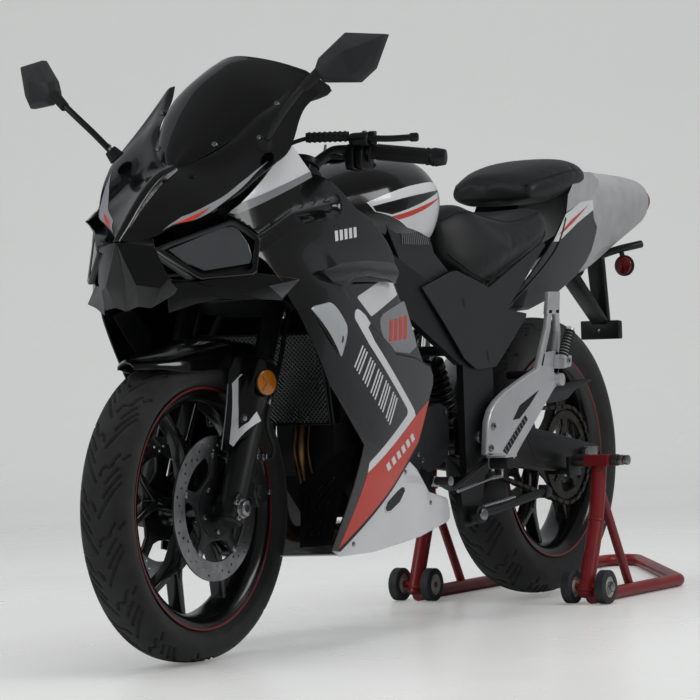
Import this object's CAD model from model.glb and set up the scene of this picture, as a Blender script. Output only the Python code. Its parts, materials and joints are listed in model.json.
"""Dresses the sport bike and its rear paddock stand with modelled pieces and finishes."""

import json
import logging
from contextlib import contextmanager
from dataclasses import dataclass, field
from enum import Enum
from math import asin, atan2, cos, pi, radians, sin, sqrt
from typing import Callable, Iterator, Sequence

import bpy
import numpy as np
from mathutils import Matrix, Vector

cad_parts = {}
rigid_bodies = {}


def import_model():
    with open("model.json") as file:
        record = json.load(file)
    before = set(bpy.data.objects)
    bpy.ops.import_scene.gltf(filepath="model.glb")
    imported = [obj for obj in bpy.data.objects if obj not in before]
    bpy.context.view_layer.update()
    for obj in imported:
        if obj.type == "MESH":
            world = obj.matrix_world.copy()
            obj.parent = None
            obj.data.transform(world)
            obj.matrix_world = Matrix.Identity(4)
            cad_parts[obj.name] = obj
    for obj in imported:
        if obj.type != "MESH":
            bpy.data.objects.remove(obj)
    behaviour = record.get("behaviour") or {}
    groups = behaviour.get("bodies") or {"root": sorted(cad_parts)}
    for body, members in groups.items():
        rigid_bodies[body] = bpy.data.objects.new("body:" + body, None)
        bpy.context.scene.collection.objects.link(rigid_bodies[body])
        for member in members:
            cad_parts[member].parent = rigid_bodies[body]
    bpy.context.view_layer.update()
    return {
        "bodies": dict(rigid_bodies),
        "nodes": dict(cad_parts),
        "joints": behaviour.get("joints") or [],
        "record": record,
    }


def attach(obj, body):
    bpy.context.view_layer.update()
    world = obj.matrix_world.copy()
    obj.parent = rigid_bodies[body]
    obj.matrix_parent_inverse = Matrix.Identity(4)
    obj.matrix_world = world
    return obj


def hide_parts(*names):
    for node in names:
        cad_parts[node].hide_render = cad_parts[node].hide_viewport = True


log = logging.getLogger("bike")

# ---------------------------------------------------------------- stance, in millimetres
AXLE_Y = -957.4569  # where the front axle stands; distances "back" count from it
FRONT_RADIUS = 293.0
REAR_RADIUS = 314.0
REAR_AXLE_HEIGHT = 321.0
WHEELBASE = 1400.0
FRONT_AXLE = (0.0, FRONT_RADIUS)  # (back, height), like the next
REAR_AXLE = (WHEELBASE, REAR_AXLE_HEIGHT)
RAKE = radians(25.0)
STEM_AFT = 35.0  # steering stem, behind the plane of the fork legs

Pair = tuple[float, float]
Triple = tuple[float, float, float]
Place = Callable[[float, float], Triple]
Piece = bpy.types.Object


# ================================================================ modelling tools
MERGE_GAP = 1e-6  # points nearer than this, in metres, are one


def at(x: float, back: float, height: float) -> Vector:
    """Point in metres from millimetres: left of the middle, behind the front axle, up.

    Args:
        x: Distance to the bike's left.
        back: Distance behind the front axle.
        height: Height over the floor.

    Returns:
        The point in the shared frame.
    """
    return Vector((x, AXLE_Y + back, height)) / 1000.0


def fork_at(x: float, up: float, aft: float) -> Triple:
    """Point in the fork's own directions, as (x, back, height).

    Args:
        x: Distance to the bike's left.
        up: Distance up the fork legs from the axle.
        aft: Distance behind the plane of the legs.

    Returns:
        The point in millimetres.
    """
    return (
        x,
        up * sin(RAKE) + aft * cos(RAKE),
        FRONT_RADIUS + up * cos(RAKE) - aft * sin(RAKE),
    )


def activate(piece: Piece) -> None:
    """Selects one object and makes it the active one.

    Args:
        piece: The object to work on.
    """
    bpy.ops.object.select_all(action="DESELECT")
    piece.select_set(True)
    bpy.context.view_layer.objects.active = piece


@contextmanager
def editing(piece: Piece) -> Iterator[None]:
    """Opens a piece for editing with all of it selected, and shuts it again.

    Args:
        piece: The piece.
    """
    activate(piece)
    bpy.ops.object.mode_set(mode="EDIT")
    bpy.ops.mesh.select_all(action="SELECT")
    yield
    bpy.ops.object.mode_set(mode="OBJECT")


def named(name: str) -> Piece:
    """Gives the new primitive its name and moves its place into its mesh.

    Args:
        name: Name for the object and its mesh.

    Returns:
        The object.
    """
    piece = bpy.context.view_layer.objects.active
    piece.name = name
    piece.data.name = name
    activate(piece)
    bpy.ops.object.transform_apply(location=True, rotation=True, scale=True)
    return piece


def smooth(piece: Piece, angle: float = 35.0) -> None:
    """Shades a piece smooth except across edges sharper than an angle.

    Args:
        piece: The piece.
        angle: Sharpest edge that stays smooth, in degrees.
    """
    activate(piece)
    bpy.ops.object.shade_smooth_by_angle(angle=radians(angle))


def modify(piece: Piece, kind: str, **settings: object) -> None:
    """Adds a modifier and applies it.

    Args:
        piece: The piece.
        kind: Blender's name for the kind of modifier.
        **settings: Values for the modifier.
    """
    activate(piece)
    modifier = piece.modifiers.new(kind.title(), kind)
    for key, value in settings.items():
        setattr(modifier, key, value)
    bpy.ops.object.modifier_apply(modifier=modifier.name)


def bevel(piece: Piece, width: float, segments: int = 2, angle: float = 30.0) -> None:
    """Rounds a piece's sharp edges.

    Args:
        piece: The piece.
        width: Width of the rounding in millimetres.
        segments: Steps across the rounding.
        angle: Only edges sharper than this many degrees are rounded.
    """
    modify(
        piece,
        "BEVEL",
        width=width / 1000.0,
        segments=segments,
        limit_method="ANGLE",
        angle_limit=radians(angle),
        use_clamp_overlap=True,
        harden_normals=False,
    )


def outward(piece: Piece) -> None:
    """Merges doubled points and turns a closed piece's faces outwards.

    Args:
        piece: The piece.
    """
    with editing(piece):
        bpy.ops.mesh.remove_doubles(threshold=MERGE_GAP)
        bpy.ops.mesh.normals_make_consistent(inside=False)


def joined(pieces: Sequence[Piece], name: str) -> Piece:
    """Makes several objects one.

    Args:
        pieces: The objects; their finishes are kept.
        name: Name of the result.

    Returns:
        The one object.
    """
    bpy.ops.object.select_all(action="DESELECT")
    for piece in pieces:
        piece.select_set(True)
    bpy.context.view_layer.objects.active = pieces[0]
    if len(pieces) > 1:
        bpy.ops.object.join()
    result = bpy.context.view_layer.objects.active
    result.name = name
    result.data.name = name
    return result


def copied(piece: Piece, name: str, matrix: Matrix) -> Piece:
    """Copies a piece with a mesh of its own, moved or mirrored.

    Args:
        piece: The piece to copy.
        name: Name of the copy.
        matrix: Where each point goes, in metres.

    Returns:
        The copy, with its faces outwards.
    """
    twin = piece.copy()
    twin.data = piece.data.copy()
    bpy.context.collection.objects.link(twin)
    twin.data.transform(matrix)
    if matrix.determinant() < 0:
        twin.data.flip_normals()
    twin.name = name
    twin.data.name = name
    return twin


MIRROR = Matrix.Diagonal((-1.0, 1.0, 1.0, 1.0))


def turned(angle: float, back: float, height: float) -> Matrix:
    """Matrix that turns about a wheel's axle.

    Args:
        angle: Turn in radians, from back towards up.
        back: The axle's distance behind the front axle.
        height: The axle's height.

    Returns:
        The matrix, for points in metres.
    """
    centre = at(0, back, height)
    turn = Matrix.Rotation(angle, 4, "X")
    return Matrix.Translation(centre) @ turn @ Matrix.Translation(-centre)


def flat_outline(name: str, points: Sequence[Vector]) -> Piece:
    """One many-sided face through points, from a filled circle with as many corners.

    Args:
        name: Name of the object.
        points: Corners in metres, in order.

    Returns:
        The object.
    """
    bpy.ops.object.select_all(action="DESELECT")
    bpy.ops.mesh.primitive_circle_add(vertices=len(points), radius=0.1, fill_type="NGON")
    piece = named(name)
    for corner, point in zip(piece.data.vertices, points):
        corner.co = point
    piece.data.update()
    return piece


def extrude(piece: Piece, way: Sequence[float]) -> None:
    """Draws a flat outline out into a closed block.

    Args:
        piece: The outline.
        way: Its travel, in metres.
    """
    with editing(piece):
        bpy.ops.mesh.extrude_region_move(TRANSFORM_OT_translate={"value": tuple(way)})
        bpy.ops.mesh.select_all(action="SELECT")
        bpy.ops.mesh.normals_make_consistent(inside=False)


def prism(
    name: str,
    outline: Sequence[Pair],
    x_near: float,
    x_far: float,
    rounding: float = 1.0,
    segments: int = 2,
) -> Piece:
    """Upright plate with a side outline, extruded across the bike and rounded.

    Args:
        name: Name of the object.
        outline: (back, height) corners in millimetres.
        x_near: One face's distance to the bike's left.
        x_far: The other face's.
        rounding: Width of the edge rounding, or 0.
        segments: Steps across the rounding.

    Returns:
        The object.
    """
    piece = flat_outline(name, [at(x_near, back, height) for back, height in outline])
    extrude(piece, ((x_far - x_near) / 1000.0, 0, 0))
    if rounding:
        bevel(piece, rounding, segments)
    smooth(piece)
    return piece


def panel(
    name: str,
    outline: Sequence[Pair],
    place: Place,
    wall: float,
    cell: float = 10.0,
    rounding: float = 0.0,
    lift: float = 0.0,
) -> Piece:
    """Thin shell with an exact outline, laid on a curved surface.

    Args:
        name: Name of the object.
        outline: Corners in the surface's own two directions, in millimetres.
        place: Gives (x, back, height) for a point of the surface.
        wall: Thickness behind the surface.
        cell: Spacing of the cuts that let the sheet follow the surface.
        rounding: Width of the rim's rounding, or 0.
        lift: How far the sheet stands off the surface.

    Returns:
        The object.
    """
    piece = flat_outline(name, [Vector((0, u, v)) / 1000.0 for u, v in outline])
    with editing(piece):
        bpy.ops.mesh.quads_convert_to_tris(ngon_method="CLIP")
        for axis, normal in ((0, (0, 1, 0)), (1, (0, 0, 1))):
            low = min(point[axis] for point in outline)
            high = max(point[axis] for point in outline)
            steps = max(1, round((high - low) / cell))
            for step in range(1, steps):
                cut = (low + (high - low) * step / steps) / 1000.0
                bpy.ops.mesh.select_all(action="SELECT")
                bpy.ops.mesh.bisect(plane_co=(0, cut, cut), plane_no=normal)
    for corner in piece.data.vertices:
        corner.co = at(*place(corner.co.y * 1000.0, corner.co.z * 1000.0))
    piece.data.update()
    middle = piece.data.polygons[len(piece.data.polygons) // 2]
    if middle.normal.x < 0:
        piece.data.flip_normals()
    if lift:
        normals = [corner.normal.copy() for corner in piece.data.vertices]
        for corner, normal in zip(piece.data.vertices, normals):
            corner.co += normal * lift / 1000.0
    modify(piece, "SOLIDIFY", thickness=wall / 1000.0, offset=-1.0, use_even_offset=False)
    if rounding:
        bevel(piece, rounding, 2, 60.0)
    smooth(piece, 40.0)
    return piece


def skin(
    name: str,
    rows: Sequence[Sequence[Triple]],
    levels: int = 2,
    closed: bool = False,
) -> Piece:
    """Smooth sheet or closed solid over a net of points, from a grid moved to them.

    Args:
        name: Name of the object.
        rows: Equal rows of (x, back, height) points in millimetres.
        levels: Times the net is subdivided.
        closed: Whether each row's end meets its start, and the first and last rows are filled.

    Returns:
        The object.
    """
    across = len(rows[0]) + (1 if closed else 0)
    bpy.ops.object.select_all(action="DESELECT")
    bpy.ops.mesh.primitive_grid_add(x_subdivisions=across - 1, y_subdivisions=len(rows) - 1, size=0.2)
    piece = named(name)
    net = [point for row in rows for point in (list(row) + [row[0]] if closed else row)]
    for corner, point in zip(piece.data.vertices, net):
        corner.co = at(*point)
    with editing(piece):
        bpy.ops.mesh.remove_doubles(threshold=MERGE_GAP)
        if closed:
            bpy.ops.mesh.select_all(action="DESELECT")
            bpy.ops.mesh.select_non_manifold(
                extend=False, use_wire=False, use_multi_face=False, use_non_contiguous=False, use_verts=False
            )
            bpy.ops.mesh.edge_face_add()
            bpy.ops.mesh.select_all(action="SELECT")
        bpy.ops.mesh.normals_make_consistent(inside=False)
    if levels:
        modify(piece, "SUBSURF", levels=levels, render_levels=levels)
    smooth(piece, 40.0)
    return piece


def round_bar(
    name: str,
    points: Sequence[Triple],
    radius: float,
    sides: int = 6,
    bent: bool = False,
) -> Piece:
    """Round bar, tube or cable along points.

    Args:
        name: Name of the object.
        points: (x, back, height) points in millimetres.
        radius: The bar's radius.
        sides: Steps in a quarter turn are about half of this.
        bent: Whether the bar runs smoothly through the points.

    Returns:
        The object.
    """
    curve = bpy.data.curves.new(name, "CURVE")
    curve.dimensions = "3D"
    curve.bevel_depth = radius / 1000.0
    curve.bevel_resolution = sides
    curve.use_fill_caps = True
    spline = curve.splines.new("NURBS" if bent else "POLY")
    spline.points.add(len(points) - 1)
    for knot, point in zip(spline.points, points):
        knot.co = (*at(*point), 1.0)
    if bent:
        spline.order_u = 3
        spline.use_endpoint_u = True
        spline.resolution_u = 8
    piece = bpy.data.objects.new(name, curve)
    bpy.context.collection.objects.link(piece)
    activate(piece)
    bpy.ops.object.convert(target="MESH")
    piece = bpy.context.view_layer.objects.active
    piece.name = name
    smooth(piece, 50.0)
    return piece


def drum(
    name: str,
    start: Triple,
    end: Triple,
    radius: float,
    end_radius: float | None = None,
    sides: int = 32,
    rounding: float = 1.0,
) -> Piece:
    """Turned piece between two points: a boss, bush, bolt head or taper.

    Args:
        name: Name of the object.
        start: (x, back, height) of one end's middle, in millimetres.
        end: The other end's.
        radius: Radius at the start.
        end_radius: Radius at the end, if it differs.
        sides: Number of flats; 6 gives a hexagon.
        rounding: Width of the edge rounding.

    Returns:
        The object.
    """
    low, high = at(*start), at(*end)
    way = high - low
    bpy.ops.object.select_all(action="DESELECT")
    bpy.ops.mesh.primitive_cone_add(
        vertices=sides,
        radius1=radius / 1000.0,
        radius2=(radius if end_radius is None else end_radius) / 1000.0,
        depth=way.length,
        location=(low + high) / 2,
        rotation=way.to_track_quat("Z", "Y").to_euler(),
    )
    piece = named(name)
    if rounding:
        bevel(piece, rounding)
    smooth(piece, 35.0)
    return piece


def level_drum(name: str, start: float, end: float, place: Pair, *form: float | None) -> Piece:
    """Round piece straight across the bike.

    Args:
        name: Name of the object.
        start: x of its first end, in millimetres.
        end: x of its other end.
        place: (back, height) of its axis.
        *form: What drum takes after its ends.

    Returns:
        The object.
    """
    return drum(name, (start, *place), (end, *place), *form)


def spun(name: str, profile: Sequence[Pair], back: float, height: float, steps: int = 96) -> Piece:
    """Ring from a closed profile spun about a wheel's axle.

    Args:
        name: Name of the object.
        profile: (x, radius) corners in millimetres.
        back: The axle's distance behind the front axle.
        height: The axle's height.
        steps: Steps round the ring.

    Returns:
        The object.
    """
    piece = flat_outline(name, [at(x, back, height + radius) for x, radius in profile])
    with editing(piece):
        bpy.ops.mesh.delete(type="ONLY_FACE")
        bpy.ops.mesh.select_all(action="SELECT")
        bpy.ops.mesh.spin(steps=steps, angle=2 * pi, center=at(0, back, height), axis=(1, 0, 0))
        bpy.ops.mesh.select_all(action="SELECT")
        bpy.ops.mesh.remove_doubles(threshold=MERGE_GAP)
        bpy.ops.mesh.normals_make_consistent(inside=False)
    smooth(piece, 35.0)
    return piece


def curve_through(values: Sequence[float], knots: Sequence[float], where: float) -> float:
    """Smooth value between knots, by cubic pieces whose slopes come from the neighbours.

    Args:
        values: Value at each knot.
        knots: Rising places of the knots.
        where: The place asked for; held to the ends.

    Returns:
        The value there.
    """
    where = min(max(where, knots[0]), knots[-1])
    last = len(knots) - 1
    span = next(i for i in range(last) if where <= knots[i + 1])

    def slope(i: int) -> float:
        """Slope at a knot from the knots beside it."""
        low, high = max(i - 1, 0), min(i + 1, last)
        return (values[high] - values[low]) / (knots[high] - knots[low])

    gap = knots[span + 1] - knots[span]
    t = (where - knots[span]) / gap
    return (
        (2 * t**3 - 3 * t**2 + 1) * values[span]
        + (t**3 - 2 * t**2 + t) * gap * slope(span)
        + (-2 * t**3 + 3 * t**2) * values[span + 1]
        + (t**3 - t**2) * gap * slope(span + 1)
    )


# ================================================================ finishes
def linear(code: str) -> tuple[float, float, float, float]:
    """Linear colour of an sRGB hex code.

    Args:
        code: Six hex digits.

    Returns:
        Red, green, blue and alpha.
    """
    parts = [int(code[i : i + 2], 16) / 255.0 for i in (0, 2, 4)]
    red, green, blue = (p / 12.92 if p <= 0.04045 else ((p + 0.055) / 1.055) ** 2.4 for p in parts)
    return (red, green, blue, 1.0)


def add_node(
    tree: bpy.types.NodeTree,
    kind: str,
    settings: dict[str, object] | None = None,
    inputs: dict[str | int, object] | None = None,
) -> bpy.types.Node:
    """Adds a shader node with its settings, values and links.

    Args:
        tree: The node tree.
        kind: Blender's name for the node.
        settings: Attributes of the node.
        inputs: Value or output socket for each named or numbered input.

    Returns:
        The node.
    """
    node = tree.nodes.new(kind)
    for key, value in (settings or {}).items():
        setattr(node, key, value)
    for key, value in (inputs or {}).items():
        if isinstance(value, bpy.types.NodeSocket):
            tree.links.new(value, node.inputs[key])
        else:
            node.inputs[key].default_value = value
    return node


def sum_of(
    tree: bpy.types.NodeTree,
    operation: str,
    first: bpy.types.NodeSocket,
    second: bpy.types.NodeSocket | float,
) -> bpy.types.NodeSocket:
    """Result of one sum on two numbers in a shader.

    Args:
        tree: The node tree.
        operation: Blender's name for the sum.
        first: The first number.
        second: The second.

    Returns:
        The result's socket.
    """
    return add_node(tree, "ShaderNodeMath", {"operation": operation}, {0: first, 1: second}).outputs[0]


class Grain(Enum):
    """How a surface was made, which sets its small relief."""

    POLISHED = "polished"
    PAINTED = "painted"
    MOULDED = "moulded"
    CAST = "cast"
    BRUSHED = "brushed"
    LEATHER = "leather"
    RUBBER = "rubber"
    TWILL = "twill"


@dataclass(frozen=True)
class Finish:
    """One real material and how its surface was made.

    Attributes:
        name: The material's name.
        colour: sRGB hex of its plain colour.
        second: sRGB hex of its patches, dust or worn places.
        roughness: Roughness of the plain surface.
        metallic: 1 for bare metal.
        grain: How the surface was made.
        relief: Height of the grain, in millimetres.
        scale: Size of the grain, in millimetres.
        coat: Strength of a clear lacquer.
        ior: Index of refraction of what isn't metal.
        clear: How much light passes through.
        sheen: Strength of a cloth's or dust's sheen.
    """

    name: str
    colour: str
    second: str
    roughness: float
    metallic: float = 0.0
    grain: Grain = Grain.PAINTED
    relief: float = 0.02
    scale: float = 6.0
    coat: float = 0.0
    ior: float = 1.5
    clear: float = 0.0
    sheen: float = 0.0

    def build(self) -> bpy.types.Material:
        """Makes the material, once.

        Returns:
            The material.
        """
        if self.name in bpy.data.materials:
            return bpy.data.materials[self.name]
        material = bpy.data.materials.new(self.name)
        material.use_nodes = True
        tree = material.node_tree
        tree.nodes.clear()
        spot = add_node(tree, "ShaderNodeTexCoord").outputs["Object"]
        patches = add_node(
            tree,
            "ShaderNodeTexNoise",
            inputs={"Vector": spot, "Scale": 1000.0 / (self.scale * 14.0), "Detail": 4.0},
        )
        ramp = add_node(tree, "ShaderNodeValToRGB", inputs={"Fac": patches.outputs["Fac"]})
        ramp.color_ramp.elements[0].position = 0.35
        ramp.color_ramp.elements[1].position = 0.75
        ramp.color_ramp.elements[0].color = linear(self.colour)
        ramp.color_ramp.elements[1].color = linear(self.second)
        rough = add_node(
            tree,
            "ShaderNodeMapRange",
            inputs={
                "Value": patches.outputs["Fac"],
                "To Min": max(0.0, self.roughness - 0.05),
                "To Max": min(1.0, self.roughness + 0.05),
            },
        )
        height = self._relief(tree, spot)
        bump = add_node(
            tree,
            "ShaderNodeBump",
            inputs={"Strength": 1.0, "Distance": self.relief / 1000.0, "Height": height},
        )
        shader = add_node(
            tree,
            "ShaderNodeBsdfPrincipled",
            inputs={
                "Base Color": ramp.outputs["Color"],
                "Metallic": self.metallic,
                "Roughness": rough.outputs["Result"],
                "IOR": self.ior,
                "Coat Weight": self.coat,
                "Coat Roughness": 0.04,
                "Transmission Weight": self.clear,
                "Sheen Weight": self.sheen,
                "Normal": bump.outputs["Normal"],
            },
        )
        out = add_node(tree, "ShaderNodeOutputMaterial", inputs={"Surface": shader.outputs["BSDF"]})
        out.is_active_output = True
        return material

    def _relief(self, tree: bpy.types.NodeTree, spot: bpy.types.NodeSocket) -> bpy.types.NodeSocket:
        """Height of the small relief.

        Args:
            tree: The material's nodes.
            spot: Object coordinates.

        Returns:
            The height socket, from 0 to 1.
        """
        per_metre = 1000.0 / self.scale
        if self.grain in (Grain.LEATHER, Grain.RUBBER):
            cells = add_node(
                tree,
                "ShaderNodeTexVoronoi",
                {"feature": "SMOOTH_F1"},
                {"Vector": spot, "Scale": per_metre, "Smoothness": 0.6},
            )
            return cells.outputs["Distance"]
        if self.grain is Grain.BRUSHED:
            stretch = add_node(
                tree, "ShaderNodeMapping", inputs={"Vector": spot, "Scale": (8.0, 0.4, 8.0)}
            )
            lines = add_node(
                tree,
                "ShaderNodeTexNoise",
                inputs={"Vector": stretch.outputs["Vector"], "Scale": per_metre, "Detail": 3.0},
            )
            return lines.outputs["Fac"]
        if self.grain is Grain.TWILL:
            slant = add_node(
                tree, "ShaderNodeMapping", inputs={"Vector": spot, "Rotation": (radians(45), 0, 0)}
            )
            weave = add_node(
                tree, "ShaderNodeTexChecker", inputs={"Vector": slant.outputs["Vector"], "Scale": per_metre}
            )
            return weave.outputs["Fac"]
        detail = {Grain.POLISHED: 0.0, Grain.PAINTED: 0.0, Grain.MOULDED: 3.0, Grain.CAST: 8.0}[self.grain]
        noise = add_node(
            tree,
            "ShaderNodeTexNoise",
            inputs={"Vector": spot, "Scale": per_metre, "Detail": detail, "Roughness": 0.6},
        )
        return noise.outputs["Fac"]


# Painted ABS with clear lacquer: mirror-smooth, with a faint orange peel.
BLACK_PAINT = Finish("lacquered_black_abs", "070708", "0A0A0C", 0.16, coat=0.6, relief=0.012, scale=9.0)
# The same lacquer over white, grey and orange-red film.
WHITE_PAINT = Finish("lacquered_white_abs", "E9EAEB", "E2E3E5", 0.2, coat=0.6, relief=0.01, scale=9.0)
RED_PAINT = Finish("lacquered_red_film", "D2351C", "C62E17", 0.24, coat=0.5, relief=0.01, scale=9.0)
PINSTRIPE = Finish("dark_red_pinstripe", "7D2020", "701A1A", 0.3, coat=0.3, relief=0.01, scale=9.0)
GREY_PAINT = Finish("lacquered_grey_film", "8B8D90", "828487", 0.26, coat=0.4, relief=0.01, scale=9.0)
# Silver paint: mica flake under satin lacquer.
SILVER_PAINT = Finish(
    "silver_mica_paint", "C6C8C7", "B6B8B7", 0.34, metallic=0.25, coat=0.3, relief=0.02, scale=3.0
)
# Unpainted injection-moulded ABS: dark grey, fine even grain, no shine.
MATTE_ABS = Finish("moulded_black_abs", "2A2B2C", "303132", 0.55, grain=Grain.MOULDED, relief=0.06, scale=1.6)
TRIM_ABS = Finish(
    "semi_gloss_black_abs", "0E0F10", "151618", 0.38, grain=Grain.MOULDED, relief=0.04, scale=2.0
)
# Black powder coat on steel and cast aluminium.
BLACK_METAL = Finish("black_powder_coat", "121314", "1A1B1D", 0.4, grain=Grain.CAST, relief=0.05, scale=3.0)
RIM_BLACK = Finish("gloss_black_rim_paint", "08090A", "0E0F10", 0.22, coat=0.4, relief=0.02, scale=5.0)
ENGINE_CAST = Finish(
    "cast_aluminium_black", "1B1C1E", "2A2B2D", 0.5, metallic=0.3, grain=Grain.CAST, relief=0.12, scale=3.0
)
# Turned, brushed and polished metals.
POLISHED_ALLOY = Finish(
    "polished_aluminium", "DCDEDF", "CCCED0", 0.34, metallic=0.6, grain=Grain.POLISHED, relief=0.02,
    scale=8.0, ior=1.45,
)
CAST_ALLOY = Finish(
    "tumbled_aluminium", "B4B6B8", "9A9C9F", 0.34, metallic=0.95, grain=Grain.CAST, relief=0.05, scale=4.0,
    ior=1.45,
)
ZINC_STEEL = Finish(
    "zinc_plated_steel", "B9BBBC", "9B9D9E", 0.28, metallic=1.0, grain=Grain.POLISHED, relief=0.02,
    scale=4.0, ior=1.45,
)
DISC_STEEL = Finish(
    "ground_disc_steel", "B4B5B6", "8F9091", 0.3, metallic=1.0, grain=Grain.BRUSHED, relief=0.03, scale=2.0,
    ior=1.45,
)
HEADER_STEEL = Finish(
    "heat_tinted_steel", "8D6B45", "5C5148", 0.32, metallic=1.0, grain=Grain.CAST, relief=0.03, scale=5.0,
    ior=1.45,
)
CHAIN_STEEL = Finish(
    "oiled_chain_steel", "3A3937", "59544D", 0.42, metallic=0.9, grain=Grain.CAST, relief=0.05, scale=2.0,
    ior=1.45,
)
# Tyre rubber: dull charcoal with a dusty bloom.
RUBBER = Finish(
    "tyre_rubber", "1B1B1C", "29292A", 0.74, grain=Grain.RUBBER, relief=0.08, scale=2.2, sheen=0.12
)
SOFT_RUBBER = Finish("moulded_rubber", "141415", "1D1D1E", 0.66, grain=Grain.MOULDED, relief=0.06, scale=1.8)
# Seat vinyl: embossed leather grain, semi-matt.
VINYL = Finish(
    "embossed_seat_vinyl", "131416", "1A1B1D", 0.48, grain=Grain.LEATHER, relief=0.12, scale=2.4, sheen=0.06
)
# Powder-coated stand tube, thick and even.
STAND_RED = Finish("red_powder_coat", "8A2024", "7A181C", 0.36, relief=0.03, scale=5.0, coat=0.2)
SLEEVE_STEEL = Finish(
    "worn_dark_steel", "5E5C58", "4A4845", 0.42, metallic=0.8, grain=Grain.CAST, relief=0.04, scale=3.0,
    ior=1.45,
)
ROLLER_WEB = Finish("pale_nylon", "B9B7B0", "A5A39C", 0.5, grain=Grain.MOULDED, relief=0.05, scale=2.0)
ROLLER_PLASTIC = Finish("cast_nylon", "2B2D30", "3B3D40", 0.55, grain=Grain.MOULDED, relief=0.06, scale=2.0)
TWILL_FILM = Finish(
    "twill_pattern_film", "141416", "222326", 0.3, grain=Grain.TWILL, relief=0.1, scale=3.0, coat=0.4
)
# Clear and smoked mouldings.
SMOKED_SCREEN = Finish(
    "smoked_acrylic", "0B0B0D", "0E0E10", 0.05, coat=0.6, clear=0.35, ior=1.49, relief=0.004, scale=30.0
)
SMOKED_LENS = Finish(
    "smoked_polycarbonate", "6A6E70", "5E6264", 0.06, clear=0.45, coat=0.8, ior=1.58, relief=0.004,
    scale=30.0,
)
CLEAR_LENS = Finish(
    "clear_polycarbonate", "D9DCDD", "CDD1D3", 0.12, clear=0.3, coat=0.6, ior=1.58, relief=0.3, scale=6.0
)
CHROME_BOWL = Finish(
    "vacuum_metallised_bowl", "8C8F92", "6A6D70", 0.3, metallic=1.0, grain=Grain.POLISHED, relief=0.2,
    scale=12.0, ior=1.45,
)
AMBER_LENS = Finish(
    "amber_reflector", "C8781C", "B06412", 0.18, coat=0.6, clear=0.1, grain=Grain.MOULDED, relief=0.1,
    scale=3.0,
)
RED_LENS = Finish(
    "red_reflector", "7A0F16", "600A11", 0.16, coat=0.6, clear=0.1, grain=Grain.MOULDED, relief=0.1,
    scale=3.0,
)


def dress(piece: Piece, finish: Finish) -> Piece:
    """Gives a whole piece one finish.

    Args:
        piece: The piece or CAD node.
        finish: Its finish.

    Returns:
        The same piece.
    """
    piece.data.materials.clear()
    piece.data.materials.append(finish.build())
    return piece


def fit(piece: Piece, finish: Finish | None, body: str, slot: str, *nodes: str) -> Piece:
    """Finishes a piece, rides it on its body and lets it stand for CAD nodes.

    Args:
        piece: The piece.
        finish: Its finish, or None where it has several already.
        body: The body that carries it.
        slot: The record's material slot.
        *nodes: The CAD nodes it stands for.

    Returns:
        The same piece.
    """
    if finish is not None:
        dress(piece, finish)
    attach(piece, body)
    if nodes:
        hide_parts(*nodes)
    log.info("%s rides on %s", piece.name, body)
    return piece


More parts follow.
